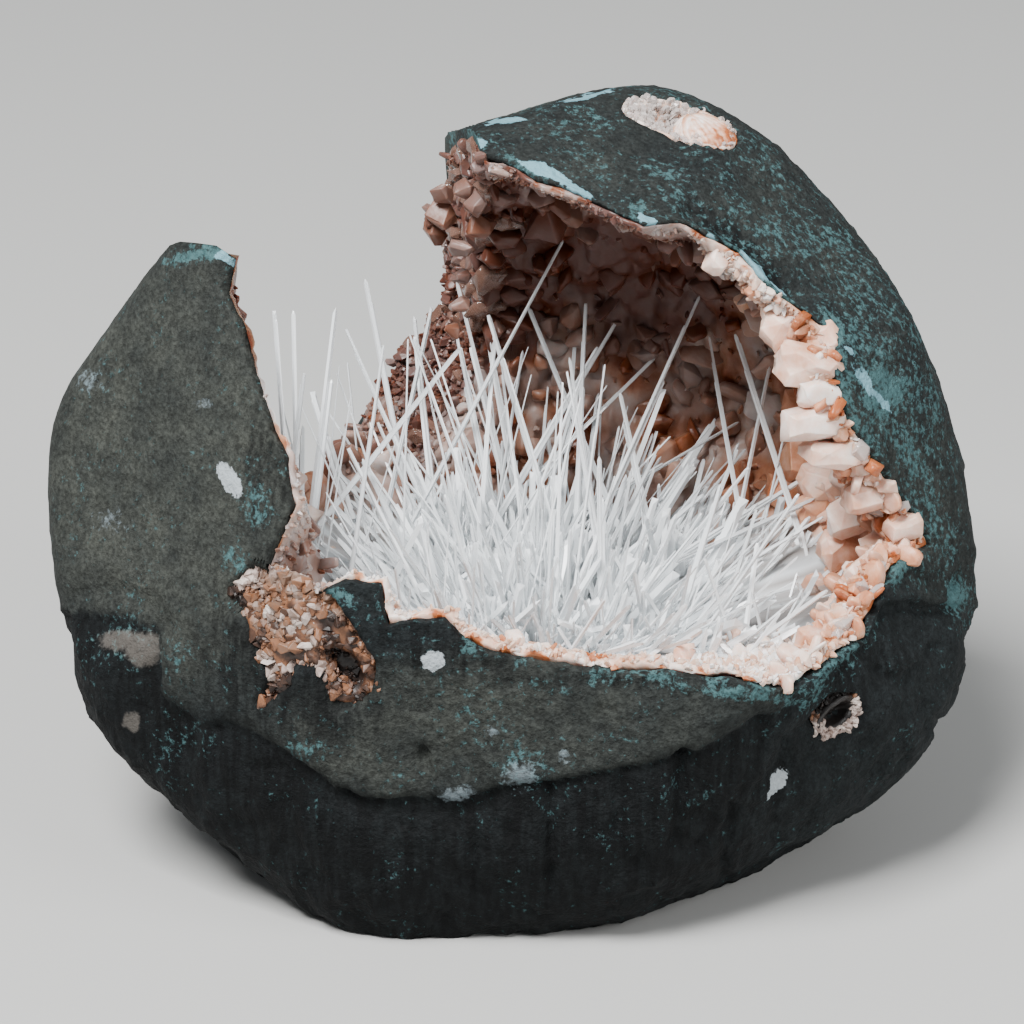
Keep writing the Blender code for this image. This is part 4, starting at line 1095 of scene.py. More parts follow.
# The large rounded crystals along the right of the break: middle across and up, length, width, the way
# the free end points (degrees from the right), and how warm its colour is.
RIGHT_LUMPS = [
    (31.8, 12.6, 6.8, 4.4, 172, 0.30), (33.0, 9.6, 4.6, 3.6, 188, 0.14), (31.0, 8.0, 4.6, 3.4, 176, 0.42),
    (32.6, 5.6, 7.0, 4.2, 187, 0.16), (31.0, 1.4, 5.0, 5.8, 184, 0.46), (34.8, 2.0, 6.8, 4.2, 180, 0.26),
    (34.1, -1.4, 7.0, 4.0, 186, 0.28), (32.6, -4.5, 4.8, 3.8, 200, 0.42), (36.6, -5.8, 5.4, 4.4, 188, 0.18),
    (35.6, -9.3, 5.0, 4.4, 196, 0.38), (36.8, -14.6, 3.8, 2.6, 226, 0.12), (38.6, -12.2, 4.4, 3.4, 205, 0.22),
    (28.6, 17.0, 4.6, 3.6, 214, 0.30), (33.0, 15.6, 3.8, 3.2, 196, 0.35), (35.0, -18.2, 4.0, 3.4, 200, 0.40),
    (32.2, -20.6, 3.6, 3.0, 170, 0.36), (40.8, -9.0, 4.4, 3.8, 200, 0.22), (38.4, -3.2, 4.6, 3.4, 190, 0.30),
    (24.0, 20.6, 2.8, 2.8, 230, 0.30), (20.6, 25.2, 3.0, 2.6, 235, 0.24), (43.0, -6.6, 4.0, 3.2, 205, 0.30),
    (28.8, -2.6, 4.0, 4.4, 190, 0.50), (30.2, 5.0, 3.4, 3.6, 186, 0.48), (38.0, -17.0, 3.0, 2.4, 215, 0.10),
    (6.4, -19.9, 4.4, 4.4, 95, 0.85), (2.8, -21.4, 2.2, 2.4, 100, 0.35), (-8.0, -19.2, 2.2, 2.4, 110, 0.10),
    (10.8, -21.6, 2.0, 2.6, 80, 0.34), (-3.6, -20.6, 2.2, 2.2, 90, 0.16), (16.6, -22.0, 2.0, 2.4, 90, 0.30),
]
# The lumps at the hood's left end: across, up, near and size.
LEFT_END_LUMPS = [
    (-14.0, 33.0, 2.0, 2.8), (-13.8, 30.6, 0.0, 3.2), (-14.8, 28.8, -2.5, 2.8), (-11.4, 33.8, 3.0, 2.4),
    (-11.6, 26.6, -1.0, 2.6), (-11.6, 23.4, -4.0, 2.4), (-12.0, 20.2, -6.0, 2.2), (-9.8, 31.6, 4.0, 2.6),
    (-13.0, 17.2, -8.0, 2.2), (-9.2, 29.0, 1.0, 2.8), (-15.2, 31.2, -4.0, 2.4), (-15.4, 29.8, -1.0, 1.8),
]


def right_lumps(chance):
    """The large crystals along the right of the break."""
    across, up, lengths, widths, turns, tones = np.array(RIGHT_LUMPS).T
    turns, count = np.radians(turns), len(turns)
    ways = unit(np.column_stack([np.cos(turns), np.sin(turns), chance.uniform(0.05, 0.6, count)]))
    ends = np.column_stack([across, up]) - 0.42 * lengths[:, None] * ways[:, :2]
    roots, found = on_crust(ends)
    roots[~found] = on_rock(ends)[~found]
    roots = roots - ways * 0.8
    sizes = np.column_stack([widths, widths * chance.uniform(0.8, 1.1, count), lengths + 0.8])
    return [copies("right_lumps", chip_template(64, 0.10, 2, chance), roots[k:k + 1], ways[k:k + 1],
                   chance.uniform(0, TURN, 1), sizes[k:k + 1], True, 0.3, tone=tones[k], deep=0.0)
            for k in range(count)]


def left_end_lumps(chance):
    """The lumps at the hood's left end, darkened to dark brown with painted shade."""
    numbers = np.array(LEFT_END_LUMPS)
    count = len(numbers)
    ways = unit(chance.normal(0, 0.5, (count, 3)) + (-1.0, 0.1, 0.5))
    sizes = numbers[:, 3:] * np.array([[0.95, 0.8, 1.0]])
    return copies("end_lumps", chip_template(26, 0.12, 2, chance),
                  numbers[:, :3] + (1.6, 0, 0) - ways * sizes[:, 2:] * 0.5, ways, chance.uniform(0, TURN, count),
                  sizes, True, 0.5, tone=chance.uniform(0.1, 0.4, count), deep=chance.uniform(0.80, 0.93, count))


def edge_of_low_place(middles):
    """Which points lie on the sides of the low place in the far wall."""
    distance, _ = segment_distance(seen(middles), GAP_OUTLINE + GAP_OUTLINE[:1])
    return (distance < GAP_ROUGHNESS + 0.8) & (middles[:, 2] < GAP_DEPTH[1])


def crust_crystals(lining, chance):
    """Blocks, blades and grains that grow over the whole lining, sized for each part of it."""
    middles, normals, areas = faces_of(lining)
    ways = unit(middles)
    turned = (normals * ways).sum(axis=1)
    grown = (turned < 0.6) | (edge_of_low_place(middles) & (turned < 0.85))
    middles, normals, areas, ways = middles[grown], normals[grown], areas[grown], ways[grown]
    below = np.degrees(below_break(ways))
    across, up = seen(middles).T
    crowded = smooth(across, -22, -16) * (1 - smooth(across, 17, 24))
    bare = (1 - 0.95 * floor_share(ways) * crowded) * (1 - 0.95 * bare_lobe(ways, below))
    inside = smooth(below, 4, 14)
    edge = 1 - inside
    thin = smooth(crust_width(ways), 0.5, 2.0)
    front = smooth(-up, 8, 14) * smooth(34 - np.abs(across), -1, 3) * smooth(middles[:, 2], -4, 4)
    right = smooth(across, 24, 30) * edge
    left_end = smooth(-across, 3, 9) * smooth(up, 12, 18) * smooth(24 + across, 0, 4)

    def scatter(density, wild):
        """Places on the lining, so many to a square millimetre, with their directions out of it."""
        chosen = chance.random(len(areas)) < density * bare * areas
        count = chosen.sum()
        out = unit(normals[chosen] + chance.normal(0, wild, (count, 3)))
        return (chosen, middles[chosen], out, count, inside[chosen], right[chosen])

    def tinted(roots, spread):
        tones, deeps = crust_tones(roots)
        return (np.clip(tones + chance.normal(0, spread, len(roots)), 0, 1),
                np.clip(deeps + chance.normal(0, 0.5 * spread, len(roots)), 0, 0.95))

    chips = [chip_template(18, 0.03, 1, chance) for _ in range(4)]
    chips += [chip_template(16, 0.11, 1, chance) for _ in range(4)]
    chosen, roots, out, count, within, at_right = scatter(
        0.045 * inside + 0.10 * edge * thin * (1 - front) + 0.05 * right + 0.28 * left_end, 0.45)
    scale = (0.66 + 0.62 * within + 0.1 * at_right) * chance.uniform(0.65, 1.25, count)
    sizes = scale[:, None] * drawn(chance, count, (2.2, 4.4), (1.6, 3.0), (1.8, 3.6))
    wall = rock_radius(ways[chosen]) - np.linalg.norm(roots, axis=1)
    sizes = np.minimum(sizes, (1.5 + 1.05 * wall)[:, None])
    tones, deeps = tinted(roots, 0.08)
    glassy = chance.random(count) < 0.14 - 0.12 * within + 0.45 * left_end[chosen] + 0.15 * at_right
    worn = chance.random(count) < within
    kinds = chance.integers(0, 4, count) + 4 * worn
    pieces, clear = [], []
    for kind, chip in enumerate(chips):
        for kept, pick in ((pieces, ~glassy & (kinds == kind)), (clear, glassy & (kinds == kind))):
            kept.append(copies("chips", chip, (roots - out * sizes[:, 2:] * 0.42)[pick], out[pick],
                               chance.uniform(0, TURN, pick.sum()), sizes[pick], kind >= 4, 0.35,
                               tone=tones[pick], deep=deeps[pick]))
    pieces += right_lumps(chance)
    pieces.append(left_end_lumps(chance))
    lumps, clear = join("stilbite_lumps", pieces), join("clear_lumps", clear)

    tablets = [
        blade_template([0.40, 0.50, 0.50, 0.30], [0.0, 0.35, 0.72, 1.0], 0.08),
        blade_template([0.42, 0.50, 0.44, 0.12], [0.0, 0.30, 0.66, 1.0], 0.07),
        blade_template([0.44, 0.50, 0.49, 0.40], [0.0, 0.40, 0.82, 1.0], 0.10),
    ]
    chosen, roots, out, count, within, at_right = scatter(
        0.015 * inside + 0.14 * edge * thin * (1 - front) + 0.10 * right, 0.5)
    scale = 0.6 + 0.45 * within + 0.25 * at_right
    lengths = scale * chance.uniform(1.6, 3.6, count)
    widths = scale * chance.uniform(1.1, 2.6, count)
    sizes = np.column_stack([widths, widths * chance.uniform(0.4, 0.9, count), lengths + 0.6])
    tones, deeps = tinted(roots, 0.08)
    kinds = chance.integers(0, len(tablets), count)
    pieces = []
    for kind, tablet in enumerate(tablets):
        pick = kinds == kind
        pieces.append(copies(
            "blades", tablet, (roots - out * 0.8)[pick], out[pick], chance.uniform(0, TURN, pick.sum()),
            sizes[pick], tone=tones[pick], deep=deeps[pick]))
    blades = join("stilbite_blades", pieces)

    grain = blade_template([0.42, 0.50, 0.14], [0.0, 0.55, 1.0], 0.0)
    chosen, roots, out, count, within, _ = scatter(
        2.6 * edge * (0.35 + 0.65 * thin) + 0.10 * inside + 0.8 * left_end, 0.6)
    scale = (0.62 + 0.38 * thin[chosen]) * (0.85 + 0.35 * within)
    sizes = scale[:, None] * drawn(chance, count, (0.4, 1.15), (0.3, 0.85), (0.6, 1.7))
    tones, deeps = tinted(roots - ways[chosen] * 0.2, 0.11)
    grains = copies("stilbite_grains", grain, roots - out * 0.3, out, chance.uniform(0, TURN, count), sizes,
                    False, tone=tones, deep=deeps)
    return lumps, clear, blades, grains


def foot_point(turns, angles, heights):
    """Points over the floor, this high above the crust."""
    angles = np.radians(angles)
    sides = np.cos(turns)[:, None] * FLOOR_SIDE + np.sin(turns)[:, None] * FLOOR_FRONT
    ways = np.cos(angles)[:, None] * FLOOR + np.sin(angles)[:, None] * sides
    return ways * (crust_radius(ways, below_break(ways)) - heights)[:, None]


def foot_height(turns, angles):
    share = np.minimum(angles / foot_edge(turns), 1.0)
    return 0.6 + FOOT_HEIGHT * (1 - share ** 2) ** 0.8


FRONT_RIM = np.array(sorted(spot[:2] for spot in BREAK_LINE if spot[1] < -8 and spot[2] > 0))
CLEARANCE_POINTS = 9           # places along a needle that are tested
TALL_SLENDER = 0.8             # part of the width seen that the main needle of a bundle has
TALL_FILL = 60                 # needles tried between those that stand out


def clear_of_crust(roots, tips, margin):
    """Which needles keep this far off the crust, and don't hang over the front rim as seen."""
    shares = np.linspace(0.3, 1.0, CLEARANCE_POINTS)
    points = (roots[None] + (tips - roots)[None] * shares[:, None, None]).reshape(-1, 3)
    ways = unit(points)
    below = below_break(ways)
    reach = np.linalg.norm(points, axis=1)
    hits = (below > math.radians(-3)) & (reach > crust_radius(ways, np.maximum(below, 0)) - margin)
    hits = (hits & ~in_low_place(points)).reshape(CLEARANCE_POINTS, -1).any(axis=0)
    spots = seen(tips)
    return ~hits & (spots[:, 1] > np.interp(spots[:, 0], FRONT_RIM[:, 0], FRONT_RIM[:, 1]) + 1.2)


def standing_needle(tip, low, margins, leans, chance=None):
    """Root and end of a needle seen from tip to low that stands on the floor, or None. chance picks one.

    It is tried with its foot further along the line, and nearer to the eye or further off.
    """
    grids = np.meshgrid(np.arange(0, 30, 3.0), np.arange(-24, 25, 2.0), indexing="ij")
    steps, nears = (grid.ravel() for grid in grids)
    tip, low = np.array(tip), np.array(low)
    spots = np.column_stack([low + unit(low - tip) * steps[:, None], np.zeros(len(steps))])
    starts = EYE + (spots - EYE) * ((EYE_DISTANCE - nears) / EYE_DISTANCE)[:, None]
    ways = unit(starts)
    turns, angles = floor_place(ways)
    depth = crust_radius(ways, np.maximum(below_break(ways), 0)) - np.linalg.norm(starts, axis=1)
    fits = (angles < foot_edge(turns) - 2) & (depth > 0.4) & (depth < 1.2 + foot_height(turns, angles) * 0.8)
    starts, steps, nears = starts[fits], steps[fits], nears[fits]
    if not len(starts):
        return None
    for margin in margins:
        for lean in leans:
            shares = (EYE_DISTANCE - nears * 1.15 - lean) / EYE_DISTANCE
            ends = EYE + (np.array([*tip, 0.0]) - EYE) * shares[:, None]
            clear = np.flatnonzero(clear_of_crust(starts, ends, margin))
            if len(clear):
                k = chance.choice(clear) if chance else clear[(0.5 * steps + 0.1 * np.abs(nears))[clear].argmin()]
                return starts[k], ends[k]
    return None


def tall_needles(chance):
    """The needles that stand out, then more of their height between them, each with its width."""
    found = []
    for tip_across, tip_up, low_across, low_up, width in TALL_NEEDLES:
        placed = standing_needle((tip_across, tip_up), (low_across, low_up), (1.6, 0.8, 0.3),
                                 (0.0, 4.0, -4.0, 9.0, -9.0))
        if placed:
            found.append((*placed, width * TALL_SLENDER))
    tops, leans = np.array(SPRAY_TOP).T, np.array(SPRAY_LEAN).T
    for across in chance.uniform(tops[0, 0], tops[0, -1], TALL_FILL):
        up = np.interp(across, *tops) - abs(chance.normal(0, 6.5))
        lean = math.radians(np.interp(across, *leans) + chance.normal(0, 15))
        low = (across - 7 * math.sin(lean), up - 7 * math.cos(lean))
        placed = standing_needle((across, up), low, (0.8,), (0.0, chance.choice((-6.0, 6.0))), chance)
        if placed:
            found.append((*placed, 0.25 + 0.6 * chance.random() ** 1.5))
    return tuple(np.array(part) for part in zip(*found))


def bundle(roots, tips, widths, chance):
    """Splits each needle into a few side by side, with stepped ends."""
    sets = [(roots, tips, widths * 0.8)]
    along = unit(tips - roots)
    side = unit(np.cross(along, chance.normal(0, 1, roots.shape)))
    for least, most in ((0.80, 0.97), (0.65, 0.92), (0.45, 0.85)):
        shares = chance.uniform(0.25, 0.55, len(widths))
        shift = side * (widths * shares * chance.choice((-1, 1), len(widths)))[:, None]
        share = chance.uniform(least, most, len(widths))[:, None]
        kept = chance.random(len(widths)) < 0.75
        sets.append(((roots + shift)[kept], (roots + (tips - roots) * share + shift)[kept],
                     (widths * chance.uniform(0.35, 0.7, len(widths)))[kept]))
    return tuple(np.concatenate(parts) for parts in zip(*sets))


def swirl(points, length, shift):
    """A direction that wanders smoothly with place, so that neighbouring needles lean together."""
    return np.column_stack([field(points, length, shift + k) for k in (0.0, 5.0, 10.0)])


def spray(chance):
    """The needles: those that stand out, then three sizes that fan out and cross over the whole floor."""
    sets = [bundle(*tall_needles(chance), chance)]
    centre = FLOOR * (crust_radius(FLOOR[None, :], np.array([1.5]))[0] + SPRAY_CENTRE_DEPTH)
    for count, least, most, thin, thick, spread, reach in NEEDLE_SETS:
        turns = chance.uniform(0, TURN, count)
        angles = foot_edge(turns) * reach * np.sqrt(chance.random(count))
        roots = foot_point(turns, angles, 0.5 + 0.4 * foot_height(turns, angles))
        ways = unit(unit(roots - centre) + 0.75 * swirl(roots, 5.0, least) + chance.normal(0, spread, (count, 3)))
        lengths = least + (most - least) * chance.random(count) ** 1.3
        for _ in range(5):
            clear = clear_of_crust(roots, roots + ways * lengths[:, None], 0.4)
            lengths = np.where(clear, lengths, lengths * 0.72)
        across = seen(roots)[:, 0]
        share = 0.30 + 0.70 * smooth(across, -24, -11) * (1 - 0.85 * smooth(across, 17, 26))
        clear &= chance.random(count) < share
        widths = (thin + (thick - thin) * chance.random(count) ** 1.6)[clear]
        sets.append((roots[clear], (roots + ways * lengths[:, None])[clear], widths))
    pieces = []
    for k, (roots, tips, widths) in enumerate(sets):
        count = len(roots)
        blunt = np.where(widths > WHITE_WIDTH, 1.0, chance.uniform(0.1, 0.9, count))
        piece = needles("needles_%d" % k, roots, tips, widths, chance.uniform(0, TURN, count), blunt)
        shaded = 1 - smooth(seen(roots)[:, 0], -20, -6)
        white = (widths > WHITE_WIDTH) | (chance.random(count) < 0.3 * (1 - 0.8 * shaded))
        low = np.where(white, 1.0, chance.uniform(0.7, 1.0, count) - 0.2 * shaded)
        high = np.where(white, chance.uniform(0.7, 1.0, count), chance.uniform(0.2, 0.7, count))
        paint(piece, milk=np.column_stack([low] * 4 + [high] * 6).ravel())
        pieces.append(piece)
    return join("needle_spray", pieces)


def spray_foot():
    """The crowded lower ends of the needles, a lumpy white mound."""
    columns, rows = 200, 60
    turns = ring_turns(columns, rows)
    angles = foot_edge(turns) * np.repeat(np.linspace(0, 1, rows + 1)[1:], columns)
    over = foot_point(turns, angles, foot_height(turns, angles) * FOOT_FILL)
    nearest, _ = cells(over, 2.2)
    lift = 0.8 * (0.7 - nearest) + 0.5 * field(over, 1.2, 2.0)
    over = over * (1 - lift / np.linalg.norm(over, axis=1))[:, None]
    pole = np.zeros(1)
    middle = foot_point(pole, pole, foot_height(pole, pole) * FOOT_FILL)
    under = foot_point(turns, angles, np.full(len(turns), -0.4))
    points = np.concatenate([over, middle, under[-columns:], foot_point(pole, pole, pole - 0.4)])
    top = rows * columns
    faces = bands(columns, 0, rows, "aABb") + band(columns, 0, top, ".Aa")
    faces += band(columns, top - columns, top + 1, "aABb") + band(columns, top + 1, len(points) - 1, ".aA")
    made = make_object("spray_foot", points, faces)
    across = seen(points)[:, 0]
    sides = np.maximum(1 - smooth(across, -18, -7), smooth(across, 20, 27))
    paint(made, milk=1.0, stain=0.85 * sides * smooth(field(points, 2.6, 6.0, 2), -0.5, 0.2))
    return made


def glassy_stubs(chance):
    """Short clear crystals on the crust at the right of the floor."""
    spots = np.column_stack([chance.normal(26.0, 4.2, STUB_COUNT), chance.normal(-17.0, 3.6, STUB_COUNT)])
    roots, found = on_crust(spots)
    roots = roots[found & (below_break(unit(roots)) > math.radians(6))]
    count = len(roots)
    ways = unit(unit(HOLLOW_MIDDLE - roots) + chance.normal(0, 0.35, (count, 3)))
    lengths = chance.uniform(1.2, 3.8, count)
    return needles("clear_stubs", roots - ways * 0.5, roots + ways * lengths[:, None],
                   chance.uniform(0.6, 1.6, count), chance.uniform(0, TURN, count),
                   chance.uniform(0.4, 0.9, count), flat=0.5, taper=0.85)


Pocket = namedtuple("Pocket", "at along across outward half_length half_width depth")


def pocket_frame(name):
    """Middle of a pocket on the rock's face, with its length, width and outward directions, and its sizes."""
    across, up, half_length, half_width, depth, turn = POCKETS[name]
    at = on_rock(np.array([[across, up]]))[0]
    near = unit(at)
    sides = [unit(near + 0.05 * side) for side in (AXIS_FIRST, AXIS_SECOND, -AXIS_FIRST, -AXIS_SECOND)]
    a, b, c, d = [side * rock_radius(side[None, :])[0] for side in sides]
    outward = unit(np.cross(a - c, b - d))
    outward = outward if outward @ near > 0 else -outward
    along = np.array([math.cos(math.radians(turn)), math.sin(math.radians(turn)), 0.0])
    along = unit(along - outward * (along @ outward))
    return Pocket(at, along, np.cross(outward, along), outward, half_length, half_width, depth)


def pocket_spots(pocket, x, y):
    """Points on the plane of a pocket's mouth, where x and y go from -1 to 1 across it."""
    return (pocket.at + np.outer(x * pocket.half_length, pocket.along)
            + np.outer(y * pocket.half_width, pocket.across))


def pocket_patch(name, piece_name, height_at, rings=34, columns=120):
    """A closed dish that fills a pocket. height_at gives millimetres outward from the rock's face."""
    pocket = pocket_frame(name)
    turns = ring_turns(columns, rings)
    shares = np.repeat(np.linspace(0, 1, rings + 1)[1:], columns)
    x, y = shares * np.cos(turns), shares * np.sin(turns)
    ways = unit(pocket_spots(pocket, x, y))
    level = ways * rock_radius(ways)[:, None]
    top = level + pocket.outward * height_at(x, y, level)[:, None]
    sunk = pocket.outward * (pocket.depth + 0.2)
    middle = pocket.at + pocket.outward * height_at(np.zeros(1), np.zeros(1), pocket.at[None, :])[0]
    points = np.concatenate([top, level[-columns:] - sunk, middle[None, :], (pocket.at - sunk)[None, :]])
    start = rings * columns
    faces = bands(columns, 0, rings, "abBA") + band(columns, start - columns, start, "abBA")
    faces += band(columns, 0, start + columns, ".aA") + band(columns, start, start + columns + 1, ".Aa")
    return make_object(piece_name, points, faces), points


def top_vug(chance):
    """The vug at the top: a glassy bowl with a lumpy edge, and a ribbed ball of blades at its right."""
    def sunk(x, out):
        return (1 - smooth(out, 0.35, 0.95)) * (1 - smooth(x, 0.0, 0.4))

    def height(x, y, points):
        out = np.hypot(x, y)
        rim = 0.35 * smooth(out, 0.6, 0.9) * (0.6 + field(points, 1.3, 4.0))
        return -1.5 * sunk(x, out) - 0.45 + rim + 0.22 * field(points, 1.2, 2.0, 2)

    dish, points = pocket_patch("top_vug", "vug_lining", height)
    # A little painted shade darkens the vug's lining.
    paint(dish, tone=np.clip(0.16 + 0.3 * field(points, 3.0, 3.0), 0, 1), deep=0.12)
    pocket = pocket_frame("top_vug")
    along, across, outward, half_width = pocket.along, pocket.across, pocket.outward, pocket.half_width
    turns, out = chance.uniform(0, TURN, VUG_PRISMS), np.sqrt(chance.random(VUG_PRISMS)) * 0.97
    x = out * np.cos(turns)
    roots = pocket_spots(pocket, x, out * np.sin(turns)) - outward * (0.7 + 1.1 * sunk(x, out))[:, None]
    ways = unit(outward + chance.normal(0, 0.32, (VUG_PRISMS, 3)))
    sizes = drawn(chance, VUG_PRISMS, (0.4, 1.0), (0.35, 0.8), (0.6, 1.3))
    prisms = copies("vug_prisms", blade_template([0.44, 0.50, 0.32], [0.0, 0.75, 1.0], 0.0), roots, ways,
                    chance.uniform(0, TURN, VUG_PRISMS), sizes, False)
    pole, first, second = axes_about(outward * 0.8 - along * 0.7 + across * 0.5)
    columns, rows = 160, 60
    turns = ring_turns(columns, rows)
    rises = np.repeat(np.linspace(0.02, 0.98, rows) * math.pi, columns)
    ways = (np.cos(rises)[:, None] * pole
            + np.sin(rises)[:, None] * (np.cos(turns)[:, None] * first + np.sin(turns)[:, None] * second))
    rays = np.column_stack([np.cos(turns) * 3.0, np.sin(turns) * 3.0, rises * 0.5])
    ribs = field(rays, 0.5, 3.0, 3) + 0.5 * field(ways * half_width, 0.6, 8.0, 2)
    spread = half_width * (0.90 + 0.07 * ribs[:, None])
    centre = pocket.at + along * pocket.half_length * 0.44 - outward * 1.1
    points = centre + spread * (1.15 * (ways @ along)[:, None] * along + (ways @ across)[:, None] * across
                                + 0.62 * (ways @ outward)[:, None] * outward)
    k = np.arange(columns)
    caps = [k[::-1].tolist(), (k + (rows - 1) * columns).tolist()]
    ball = make_object("vug_ball", points, caps + bands(columns, 0, rows, "aABb"))
    warm = smooth(ways @ along - 0.4 * (ways @ across), 0.1, 1.0)
    # A very little painted shade darkens the ball.
    paint(ball, tone=np.clip(0.22 + 0.34 * warm + 0.34 * ribs, 0, 1), deep=0.04)
    return dish, prisms, ball


def left_vein(chance):
    """The weathered vein at the left front: cream and brown lumps and grains, with a dark hollow in them."""
    def height(x, y, points):
        hollow = blob(seen(points), *VEIN_HOLLOW)
        outside = 1 - in_pocket(points, "left_vein")
        return -0.7 - 1.9 * hollow - 1.4 * outside + 0.45 * field(points, 1.8, 6.0, 3)

    dish, points = pocket_patch("left_vein", "vein_bed", height)
    hollow = blob(seen(points), *VEIN_HOLLOW)
    paint(dish, tone=np.clip(0.34 + 0.35 * field(points, 2.5, 9.0) + 0.5 * hollow, 0, 1))
    grain = blade_template([0.40, 0.5, 0.24], [0.0, 0.6, 1.0], 0.0)
    pieces = []
    for tried, least, most, template, uneven in (
            (1600, 0.9, 2.0, chip_template(16, 0.10, 1, chance), 0.7), (6500, 0.3, 0.8, grain, 0.0)):
        spots = np.column_stack([chance.uniform(-39, -20, tried), chance.uniform(-30, -11, tried)])
        spots = spots[inside_outline(spots + chance.normal(0, 0.3, spots.shape), VEIN_OUTLINE)]
        hollow = blob(spots, *VEIN_HOLLOW)
        roots = on_rock(spots)
        ways = unit(roots)
        dips = 0.5 * smooth(-field(roots, 3.0, 21.0), -0.1, 0.2)
        roots = roots - ways * (0.95 + 1.9 * hollow + dips)[:, None]
        count = len(roots)
        out = unit(ways + chance.normal(0, 0.6, (count, 3)))
        scale = chance.uniform(least, most, count) * (1 - 0.3 * hollow)
        sizes = scale[:, None] * drawn(chance, count, (0.5, 1.0), (0.4, 0.9), (0.7, 1.1))
        brown = smooth(field(roots, 4.0, 9.0, 2), 0.0, 0.45)
        cream = smooth(field(roots, 3.0, 19.0, 2), 0.05, 0.35)
        low_right = smooth(spots[:, 0], -31, -24) * smooth(-spots[:, 1], 16, 22)
        tones = 0.19 + 0.34 * brown - 0.22 * cream + 0.55 * hollow + 0.14 * low_right
        pieces.append(copies("vein_%d" % tried, template, roots - out * scale[:, None] * 0.35, out,
                             chance.uniform(0, TURN, count), sizes, False, uneven,
                             tone=np.clip(tones + chance.normal(0, 0.05, count), 0, 1)))
    return dish, join("vein_grains", pieces)


def right_pocket(chance):
    """The small pocket at the right front: a dark hole with white crystals round it, brown above."""
    def height(x, y, points):
        return -1.9 * (1 - smooth(np.hypot(x, y), 0.25, 0.85)) - 0.4 + 0.25 * field(points, 0.9, 5.0, 2)

    dish, points = pocket_patch("right_pocket", "pocket_bed", height, rings=18, columns=60)
    pocket = pocket_frame("right_pocket")
    away = np.linalg.norm(points - pocket.at, axis=1)
    paint(dish, tone=np.clip(0.95 - 0.3 * smooth(away, 1.6, 2.6), 0, 1))
    turns = chance.uniform(0, TURN, POCKET_GRAINS)
    thin_place = smooth(field(np.column_stack([np.cos(turns), np.sin(turns), turns * 0]), 0.7, 3.0), -0.1, 0.3)
    out = 1 - chance.random(POCKET_GRAINS) * (0.12 + 0.38 * thin_place)
    roots = pocket_spots(pocket, out * np.cos(turns), out * np.sin(turns))
    roots = roots - pocket.outward * (2.2 * (1.02 - out) + 0.75)[:, None]
    ways = unit(pocket.outward * 0.8 + chance.normal(0, 0.6, (POCKET_GRAINS, 3)))
    grain = blade_template([0.42, 0.5, 0.42, 0.14], [0.0, 0.45, 0.75, 1.0], 0.06)
    sizes = drawn(chance, POCKET_GRAINS, (0.4, 1.0), (0.3, 0.7), (0.5, 1.2))
    upper = smooth(np.sin(turns), 0.2, 0.9)
    grains = copies("pocket_grains", grain, roots, ways, chance.uniform(0, TURN, POCKET_GRAINS), sizes, False,
                    tone=np.clip(0.02 + 0.72 * upper + chance.normal(0, 0.05, POCKET_GRAINS), 0, 1))
    return dish, grains


def dress(piece, look, slot, *nodes):
    """Gives a piece its material and the body it rides on, and hides the nodes it stands for. The slot is not
    used.
    """
    piece.data.materials.clear()
    piece.data.materials.append(look)
    piece.data.polygons.foreach_set("material_index", [0] * len(piece.data.polygons))
    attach(piece, "root")
    if nodes:
        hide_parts(*nodes)


def stage():
    """A pale floor, a soft light above and in front, a weaker one at the right, and a pale room."""
    bpy.ops.mesh.primitive_plane_add(size=6.0)
    floor = bpy.context.object
    floor.name = "floor"
    floor.data.materials.append(
        material("pale_floor", lambda tree: {"Base Color": linear("#adadab"), "Roughness": 0.9}))
    world = bpy.data.worlds.new("room")
    world.use_nodes = True
    bpy.context.scene.world = world
    room = world.node_tree.nodes["Background"].inputs
    room["Color"].default_value = linear("#dfe4e8")
    room["Strength"].default_value = 0.42
    for name, place, size, power in LIGHTS:
        light = bpy.data.lights.new(name, "AREA")
        light.size = size
        light.energy = power
        lamp = bpy.data.objects.new(name, light)
        lamp.location = place
        lamp.rotation_euler = (Vector((0, 0, 0.045)) - Vector(place)).to_track_quat("-Z", "Y").to_euler()
        bpy.context.scene.collection.objects.link(lamp)


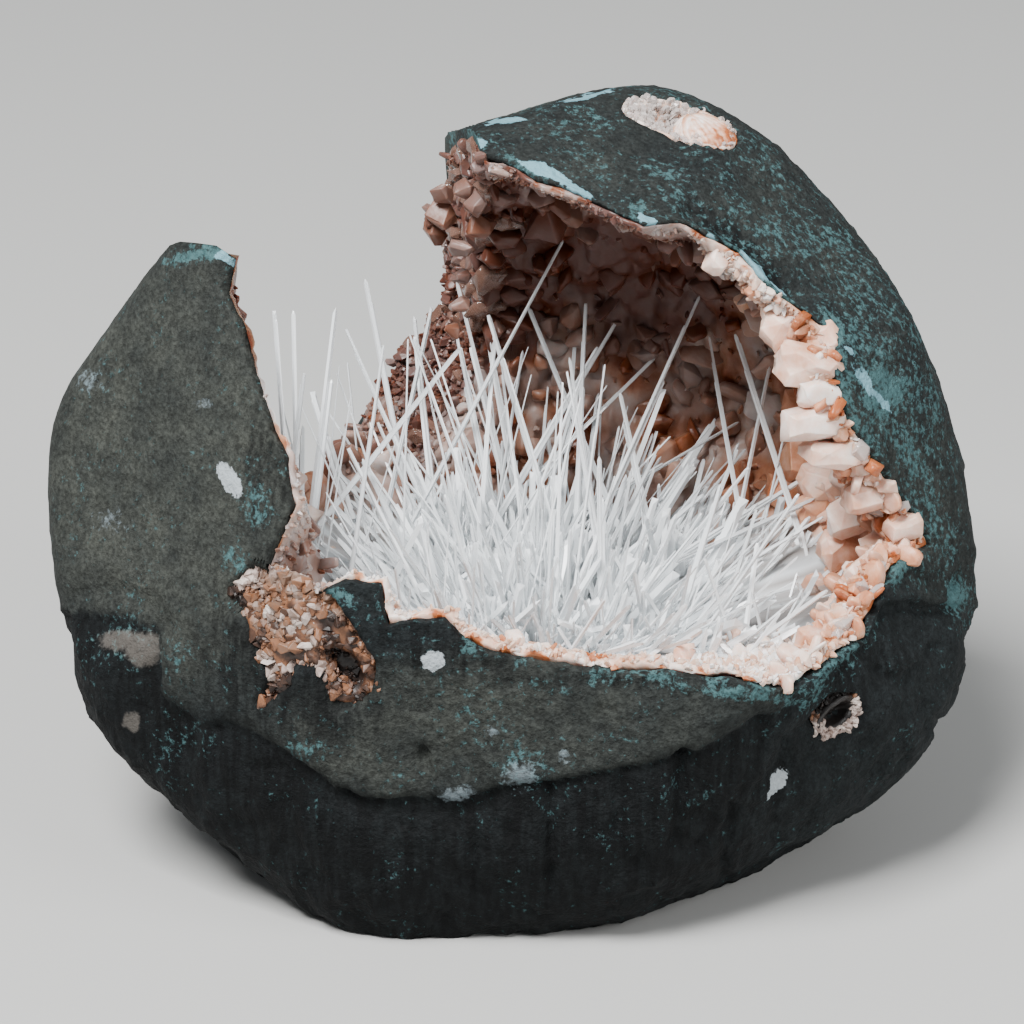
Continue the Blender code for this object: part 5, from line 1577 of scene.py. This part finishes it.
def camera():
    """The eye, in front and a little above, with the nodule's middle where the picture has it."""
    lean = math.radians(VIEW_LEAN)
    away = Vector((0.0, -math.cos(lean), math.sin(lean)))
    lens = bpy.data.cameras.new("camera")
    lens.sensor_width = 36.0
    lens.lens = 36.0 * EYE_DISTANCE / PICTURE_WIDTH
    lens.shift_x = (PICTURE / 2 - MIDDLE_PIXEL[0]) / PICTURE
    lens.shift_y = (MIDDLE_PIXEL[1] - PICTURE / 2) / PICTURE
    lens.clip_start = 0.01
    eye = bpy.data.objects.new("camera", lens)
    eye.location = Vector(MIDDLE * MM) + away * EYE_DISTANCE * MM
    eye.rotation_euler = (-away).to_track_quat("-Z", "Y").to_euler()
    bpy.context.scene.collection.objects.link(eye)
    bpy.context.scene.camera = eye


def corners(box):
    return [list(corner) for corner in box]


def main():
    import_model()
    camera()
    stage()
    chance = np.random.default_rng(SEED)
    rock = shell("basalt_body", *ROCK_MESH, rock_outside, wall_radius, jag)
    lining = shell("crust_lining", *CRUST_MESH, wall_radius, crust_inside, proud, crust_brow)
    low_place = gap_cutter()
    cut(rock, low_place)
    cut(lining, low_place)
    bpy.data.objects.remove(low_place)
    rock_colours(rock)
    tones, deeps = crust_tones(leaning_points(lining))
    paint(lining, tone=tones, deep=deeps)
    lumps, clear_lumps, blades, grains = crust_crystals(lining, chance)
    needle_spray = spray(chance)
    foot = spray_foot()
    stubs = glassy_stubs(chance)
    vug_lining, vug_prisms, vug_ball = top_vug(chance)
    vein_bed, vein_grains = left_vein(chance)
    pocket_bed, pocket_grains = right_pocket(chance)
    looks = {look.__name__: material(look.__name__, look)
             for look in (basalt, stilbite, scolecite, clear_stilbite, vein_filling)}
    for piece, look, slot, *nodes in (
            (rock, "basalt", "basalt", "basalt_shell"), (lining, "stilbite", "stilbite", "stilbite_crust"),
            (lumps, "stilbite", "stilbite"), (clear_lumps, "clear_stilbite", "stilbite"),
            (blades, "stilbite", "stilbite"), (grains, "stilbite", "stilbite"),
            (needle_spray, "scolecite", "scolecite", "scolecite_spray"), (foot, "scolecite", "scolecite"),
            (stubs, "clear_stilbite", "scolecite"), (vug_lining, "stilbite", "stilbite", "top_vug"),
            (vug_prisms, "clear_stilbite", "stilbite"), (vug_ball, "stilbite", "stilbite"),
            (vein_bed, "vein_filling", "vein_filling", "left_vein"),
            (vein_grains, "vein_filling", "vein_filling"),
            (pocket_bed, "vein_filling", "vein_filling", "right_pocket"),
            (pocket_grains, "vein_filling", "vein_filling")):
        dress(piece, looks[look], slot, *nodes)


main()
